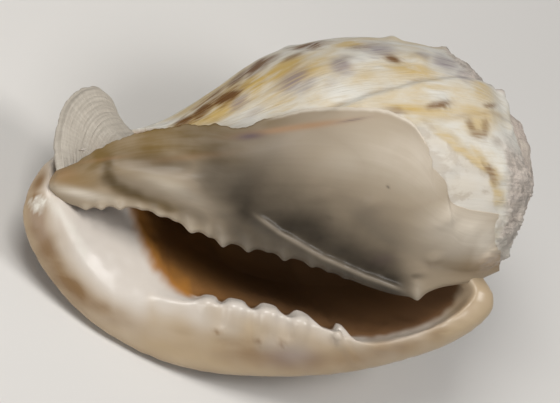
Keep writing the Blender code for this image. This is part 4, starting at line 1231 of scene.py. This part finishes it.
for amount, spread, tint in (
    (tan, broken, SHIELD_TAN), (pale, broken, SHIELD_PALE), (olive, broken, SHIELD_OLIVE),
    (dark, even, SHIELD_DARK), (orange, broken, SHIELD_ORANGE), (purple, broken, SHIELD_PURPLE),
):
    colour = blend(times(amount, spread, clamp=True), colour, tint)
colour = blend(times(is_under, 0.8), colour, DEEP_BROWN)
wire(surface["Base Color"], colour)
wire(surface["Roughness"], soft(plate_across, 0.05, 0.45, 0.60, 0.40))
surface["Specular IOR Level"].default_value = 0.28
surface["Coat Weight"].default_value = 0.05
surface["Coat Roughness"].default_value = 0.15
roughen(surface, wisps, 0.12, 0.0005)
shield.data.materials.append(shield_paint)
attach(shield, "root")
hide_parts("helmet_shell")

# PILLAR
# The solid column on the axis carries the shield and ends in the thick fold round the canal. Both
# are the same dense shell as the wall. Each row is a point on the path and the radius there.
PILLAR_ROWS = 60
PILLAR_ROUND = 64
PILLAR = np.array([
    (-2, 9, -4, 11), (-25, 12.5, 9, 9.5), (-40, 13, 17, 9.5), (-52, 13.5, 20, 9), (-63, 13, 21, 5),
])
FOLD_END = np.array([
    (-44, 14, 12, 8), (-52, 13, 12, 10), (-60, 11, 12, 11), (-68, 10, 14, 9.5), (-75, 10, 18, 5),
])
PILLAR_BROWN = (0.14, 0.085, 0.045)
PILLAR_TAN = (0.30, 0.22, 0.15)

pillar_paint, tree, surface, place = new_paint("pillar")
cloud = noise(place, 60.0, 4.0, 0.55)
wire(surface["Base Color"], blend(soft(cloud, 0.4, 0.65), PILLAR_BROWN, PILLAR_TAN))
surface["Roughness"].default_value = 0.25
angle = np.linspace(0.0, 2.0 * pi, PILLAR_ROUND, endpoint=False)
spokes = np.cos(angle)[:, None] * ACROSS + np.sin(angle)[:, None] * OUTWARD
cap = 1.0 - np.abs(np.linspace(-1.0, 1.0, PILLAR_ROUND))
for name, path in (("pillar", PILLAR), ("fold_end", FOLD_END)):
    middle = spline(np.linspace(0.0, 1.0, len(path)), path, np.linspace(0.0, 1.0, PILLAR_ROWS))
    rings = middle[:, None, :3] + middle[:, 3][:, None, None] * spokes[None]
    column = closed_mesh(name, rings, cap, {})
    column.data.materials.append(pillar_paint)
    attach(column, "root")
    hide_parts("helmet_shell")

# CANAL
# The short trough of bare shell at the narrow end bends back and up to a worn, chipped rim. It
# grew as one with the last whorl, and its growth lines run level with the rim.
CANAL_LONG = 110
CANAL_ROUND = 150
CANAL_WALL = 2.6
CANAL_BULGE = 0.16
CANAL_FLUTES = 16.0
CANAL_RIM = np.array([
    (-78.5, 6, 33), (-79.8, 12, 31.5), (-80.6, 21, 27), (-78, 33, 19), (-72.5, 39.3, 12), (-67, 40.6, 8),
    (-62.8, 37, 5), (-62, 30.5, 2), (-64, 26, -3), (-70, 24, -4), (-76.5, 20.5, 2), (-81.5, 15, 10),
])
CANAL_NECK = np.array([
    (-64, 4, 28.5), (-63, 8, 29), (-61, 12, 29.5), (-58, 16, 28.5), (-56, 19, 28), (-54.5, 20.5, 24.5),
    (-52, 21, 20), (-51, 18.5, 14), (-54, 14, 10), (-59, 9, 9), (-65, 6, 11), (-71, 6, 16),
])
# Chips in the rim: place round it, half width, depth as a share of the length.
RIM_CHIPS = ((0.57, 0.016, 0.10), (0.635, 0.012, 0.06), (0.50, 0.012, 0.03), (0.42, 0.010, 0.02))

at = np.linspace(0.0, 1.0, CANAL_ROUND)
rim = spline(np.linspace(0.0, 1.0, len(CANAL_RIM)), CANAL_RIM, at)
neck = spline(np.linspace(0.0, 1.0, len(CANAL_NECK)), CANAL_NECK, at)
short = 0.015 * ripple(at * 90.0, 0.0 * at, 6.0, 71) + 0.009 * ripple(at * 90.0, 0.0 * at, 2.0, 72)
for chip_at, width, deep in RIM_CHIPS:
    short = short + deep * hump(at, chip_at, width)
out = np.linspace(0.0, 1.0, CANAL_LONG)[None, :] * (1.0 - np.clip(short, 0.0, 0.2))[:, None]
outs = out[..., None]
trough = neck[:, None, :] * (1.0 - outs) + rim[:, None, :] * outs
middle = neck.mean(axis=0) * (1.0 - outs) + rim.mean(axis=0) * outs
trough = trough + (middle - trough) * CANAL_BULGE * np.sin(pi * outs)
inward = normals(trough)
beat = out * 2.0 * pi * CANAL_FLUTES + ripple(at, 0.0 * at, 0.5, 73)[:, None]
flutes = 0.10 * np.sin(beat) * ramp(0.2, 0.5, out)
flutes += 0.14 * ripple(out * 60.0, at[:, None] * 30.0, 5.0, 74)
trough = trough - inward * flutes[..., None]
thin_rim = CANAL_WALL * (1.0 - 0.55 * ramp(0.9, 1.0, out))[..., None]
back = trough + inward * thin_rim
canal_at = np.stack([out * 0.30, at[:, None] * 0.6 + 0.0 * out, 0.0 * out], axis=-1)
canal_in = canal_at + np.array([0.0, 0.0, 1.0])
cap = np.linspace(0.0, 1.0, CANAL_LONG)
cap = np.concatenate([cap, cap[::-1]])
cap[CANAL_LONG - 1] += 0.01
values = {"coil": np.concatenate([canal_at, canal_in[:, ::-1]], axis=1)}
canal = closed_mesh("canal", np.concatenate([trough, back[:, ::-1]], axis=1), cap, values)

CANAL_PALE = (0.49, 0.44, 0.37)
CANAL_GREY = (0.38, 0.335, 0.275)
CANAL_CORD = (0.58, 0.53, 0.45)
CANAL_PINK = (0.50, 0.39, 0.31)
canal_paint, tree, surface, place = new_paint("canal")
growth = use_group(tree, growth_group, {"Coil": read(tree, "coil")[0], "Place": place})
colour = blend(soft(growth["Lines"], 0.38, 0.62, 0.0, 0.35), CANAL_PALE, CANAL_GREY)
colour = blend(soft(growth["Cords"], 0.46, 0.62, 0.0, 0.4), colour, CANAL_CORD)
colour = blend(soft(growth["Clouds"], 0.5, 0.7, 0.0, 0.5), colour, CANAL_PINK)
wire(surface["Base Color"], colour)
surface["Roughness"].default_value = 0.5
fine = math("MULTIPLY_ADD", growth["Lines"], 1.2, noise(place, 700.0, 3.0, 0.6))
roughen(surface, math("MULTIPLY_ADD", growth["Cords"], 0.9, fine), 0.6, 0.0005)
canal.data.materials.append(canal_paint)
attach(canal, "root")
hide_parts("helmet_shell")
